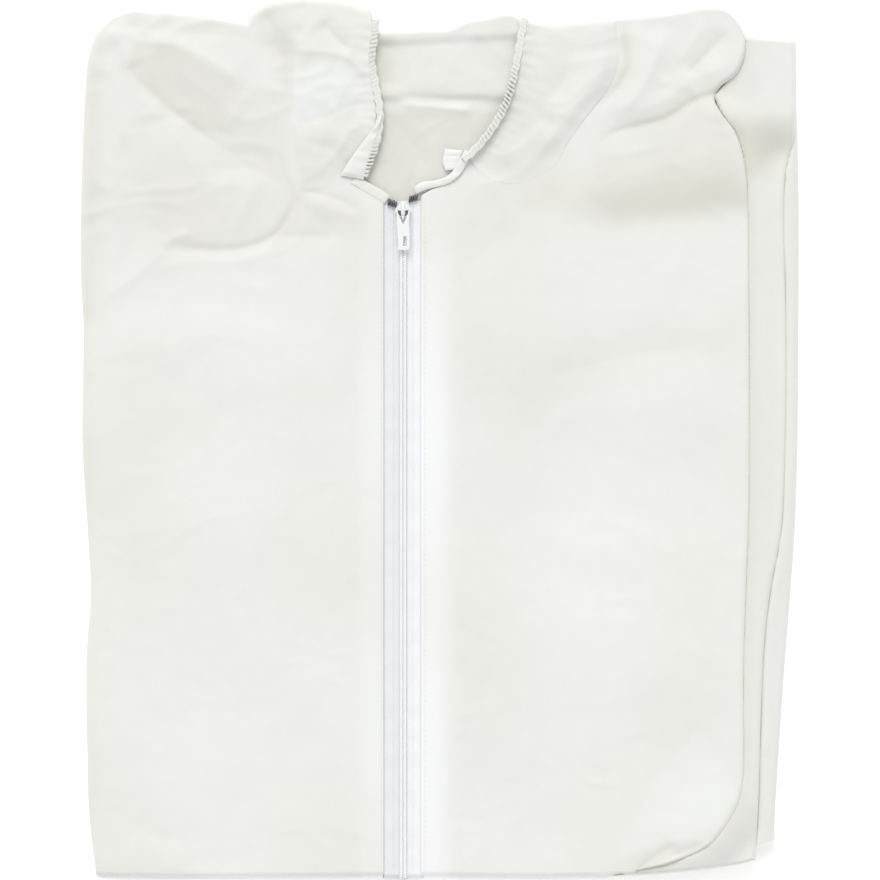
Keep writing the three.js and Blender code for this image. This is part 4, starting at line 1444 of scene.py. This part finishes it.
def build_face_elastic(side):
    """The overlocked elastic along a front edge: gathered ridges with slanted threads over them."""
    face = FACE[side]
    base = HOOD[side][0][2]
    length = lengths_along(face)[-1]
    s = np.linspace(0, 1, int(length / 0.3))
    across = np.linspace(0, BAND, 15)
    spine = even(face, s)
    ahead = np.gradient(spine, axis=0)
    ahead /= np.linalg.norm(ahead, axis=1)[:, None]
    beside = np.stack([-ahead[:, 1], ahead[:, 0]], 1) * (1 if side == "left" else -1)
    run = (s * length)[:, None] + SLANT * across[None] / BAND
    run = run + 0.4 * waves(run, 0 * run, 14, 171, 6)
    ridge = np.abs(np.sin(math.pi * run / GATHER_PITCH))
    y = spine[:, 1][:, None] + 0 * run
    tight = np.minimum(band_tightness(side, y), 1)
    roll = np.sqrt(np.clip(1 - (1 - across / 1.3) ** 2, 0, 1)) * (across < 1.3) + (across >= 1.3)
    lift = 2.6 * ease((y - 150) / 44) - (0.6 if side == "left" else -0.2)
    z = base + 0.2 + lift + 1.2 * roll[None] + ridge**0.7 * (0.08 + 0.6 * tight)
    sway = 0.3 * np.sin(2 * math.pi * s * length / 7.3)[:, None] + 0.15 * ridge * tight
    grid = np.stack([
        spine[:, :1] + beside[:, :1] * (across[None] - sway),
        spine[:, 1:] + beside[:, 1:] * (across[None] - sway),
        z,
    ], -1)
    # painted shade in the slits between the gathered ridges, deepest where the elastic draws tightest
    middle = bump(across[None] - BAND * 0.5, BAND * 0.46)
    slits = np.clip(1.4 - ridge * 1.75, 0, 1)
    tone = 1.0 - 0.78 * tight * slits * middle - 0.05 * tight
    under = grid[:, [2, 5, 8, 11, 14]].copy()
    under[..., 2] = (base + lift - 0.1)[:, :1]
    grid = np.concatenate([under[:, ::-1], grid], axis=1)
    tone = np.concatenate([np.full(under.shape[:2], 0.95), tone], axis=1)
    add_sheet(f"face_elastic_cloth_{side}", grid, NECK, f"face_elastic_{side}", GATHERED,
              "elastic_thread", tone, flip=side == "right", held="gathered")
    threads = []
    for i in range(int(length / GATHER_PITCH) - 1):
        shares = np.clip(i * GATHER_PITCH + 3.75 - np.linspace(0, 1, 5) * SLANT, 0, length) / length
        lateral = np.linspace(0.3, BAND - 0.3, 5)
        rows = np.clip((shares * (len(s) - 1)).astype(int), 0, len(s) - 1)
        columns = np.clip((lateral / BAND * 14).astype(int), 0, 14)
        at = spine[rows] + beside[rows] * (lateral - sway[rows, columns])[:, None]
        path = np.stack([at[:, 0], at[:, 1], z[rows, columns] + 0.06], 1)
        threads.append(tube_mesh(smooth_path(path, 9), 0.1, 5))
    add_part(f"overlock_{side}", threads, THREAD, "elastic_thread", NECK)


def flat_strip(first, second, level, rise):
    """Points of a strip of cloth folded over on itself between two edges, and closed at its ends."""
    middle, half = (first + second) / 2, (second - first) / 2
    count, around = len(first), 22
    share = np.linspace(0, 1, count)
    ends = np.clip(np.minimum(share, 1 - share) / 0.06, 0.03, 1) ** 0.5
    angle = np.linspace(0, 2 * math.pi, around)
    wave = 1 + 0.22 * waves(np.repeat(share[:, None] * 60, around, 1), angle[None] * 2, 6, 191, 8)
    points = np.zeros((count, around, 3))
    points[..., :2] = middle[:, None] + half[:, None] * np.cos(angle)[None, :, None]
    up = np.sin(angle)[None]
    swell = np.where(up > 0, up * wave, 0.4 * up)
    points[..., 2] = np.asarray(level)[:, None] + rise * ends[:, None] * swell
    return points


def build_turned_flap():
    """The hood's left front corner, which has flopped outwards at the neck."""
    first = smooth_path([(-59.5, 157.5), (-54, 166.5), (-46, 177.5), (-38.4, 188), (-35.2, 195)], 50)
    second = smooth_path([(-45.5, 155), (-43, 165), (-38.8, 177), (-35.4, 188), (-34.0, 195)], 50)
    level = front_height(first[:, 0], first[:, 1]) + np.linspace(1.2, 5.6, 50)
    points = flat_strip(first, second, level, 1.0)
    add_sheet("hood_flap", points, NECK, tone=1.03 + 0 * points[..., 0], flip=True,
              rests_on=["hood_lobe_left"])


def build_neck_pieces():
    """The folded neck edges, from the zip's top ends to the foot of each front edge of the hood,
    and a small blank label sewn in at the right."""
    strips = [      # name, edges, count, end lift, rise, tone, cool, flip, what it rests on
        ("neck_binding_right",
         [(-15.5, 150.6), (-10.9, 153.6), (-3, 154.6), (4, 157), (8.6, 161.5), (11.8, 167.5), (15, 173)],
         [(-14.2, 146.4), (-7, 149.4), (-1, 150.8), (5.5, 152.8), (12, 158), (15.6, 164), (19, 171)],
         60, 1.6, 0.8, 0.97, 0.45, False, "front_cloth_right"),
        ("neck_binding_left",
         [(-29.8, 145.4), (-34, 148.6), (-40, 151.8), (-50, 157.5)],
         [(-33.0, 140.8), (-37.6, 143.8), (-43.6, 147.2), (-53, 153)],
         60, 0.8, 0.3, 0.97, 0.2, True, "front_cloth_left"),
        ("neck_label",
         [(3.2, 160.5), (1.6, 166), (3.0, 173.4)], [(10.5, 161), (12, 167), (13.5, 172.5)],
         24, 1.0, 0.45, 1.02, 0.459, False, "hood_inside"),
    ]
    for name, first, second, count, lift, rise, tone, cool, flip, rests_on in strips:
        level = FRONT_Z + np.linspace(0.2, lift, count)
        points = flat_strip(smooth_path(first, count), smooth_path(second, count), level, rise)
        plain = 0 * points[..., 0]
        add_sheet(name, points, "torso", tone=tone + plain, cool=cool + plain, flip=flip,
                  rests_on=[rests_on])


# ---------------------------------------------------------------- stage
def build_stage():
    scene = bpy.context.scene
    scene.view_settings.view_transform = "Standard"
    scene.view_settings.look = "None"
    mesh = bpy.data.meshes.new("floor")
    size = 6.0
    corners = [(-size, -size, 0), (size, -size, 0), (size, size, 0), (-size, size, 0)]
    mesh.from_pydata(corners, [], [(0, 1, 2, 3)])
    floor = bpy.data.objects.new("floor", mesh)
    floor.location.z = -0.0005
    material = bpy.data.materials.new("floor")
    material.use_nodes = True
    shader = material.node_tree.nodes["Principled BSDF"]
    shader.inputs["Base Color"].default_value = (0.96, 0.96, 0.96, 1)
    shader.inputs["Roughness"].default_value = 0.9
    shader.inputs["Emission Color"].default_value = (1.0, 1.0, 1.0, 1)
    shader.inputs["Emission Strength"].default_value = 0.3
    mesh.materials.append(material)
    scene.collection.objects.link(floor)

    world = bpy.data.worlds.new("world")
    world.use_nodes = True
    world.node_tree.nodes["Background"].inputs["Color"].default_value = (1.0, 1.0, 1.0, 1)
    world.node_tree.nodes["Background"].inputs["Strength"].default_value = 0.74
    scene.world = world

    data = bpy.data.lights.new("key", "SUN")
    data.energy = 1.62
    data.angle = math.radians(32)
    data.color = (1.0, 0.997, 0.985)
    lamp = bpy.data.objects.new("key", data)
    lamp.rotation_mode = "QUATERNION"
    lamp.rotation_quaternion = Vector((0.12, -0.8, -0.72)).to_track_quat("-Z", "Y")
    scene.collection.objects.link(lamp)

    camera_data = bpy.data.cameras.new("camera")
    distance = 8.0      # metres above the floor, straight down
    seen = 0.5256       # the width in view at the floor, in metres
    camera_data.sensor_width = 36.0
    camera_data.lens = 18.0 / (seen / 2 / distance)
    camera = bpy.data.objects.new("camera", camera_data)
    camera.location = (0.0, 0.0, distance)
    scene.collection.objects.link(camera)
    scene.camera = camera


build_stage()
build_front()
build_back()
for side in SIDES:
    build_leg(side)
    build_sleeve(side)
build_waist()
build_tapes()
build_coils()
build_topstitching()
build_slider()
build_pull()
build_stops()
build_hood_back()
build_hood_left()
build_hood_right()
for side in SIDES:
    build_face_elastic(side)
build_turned_flap()
build_neck_pieces()
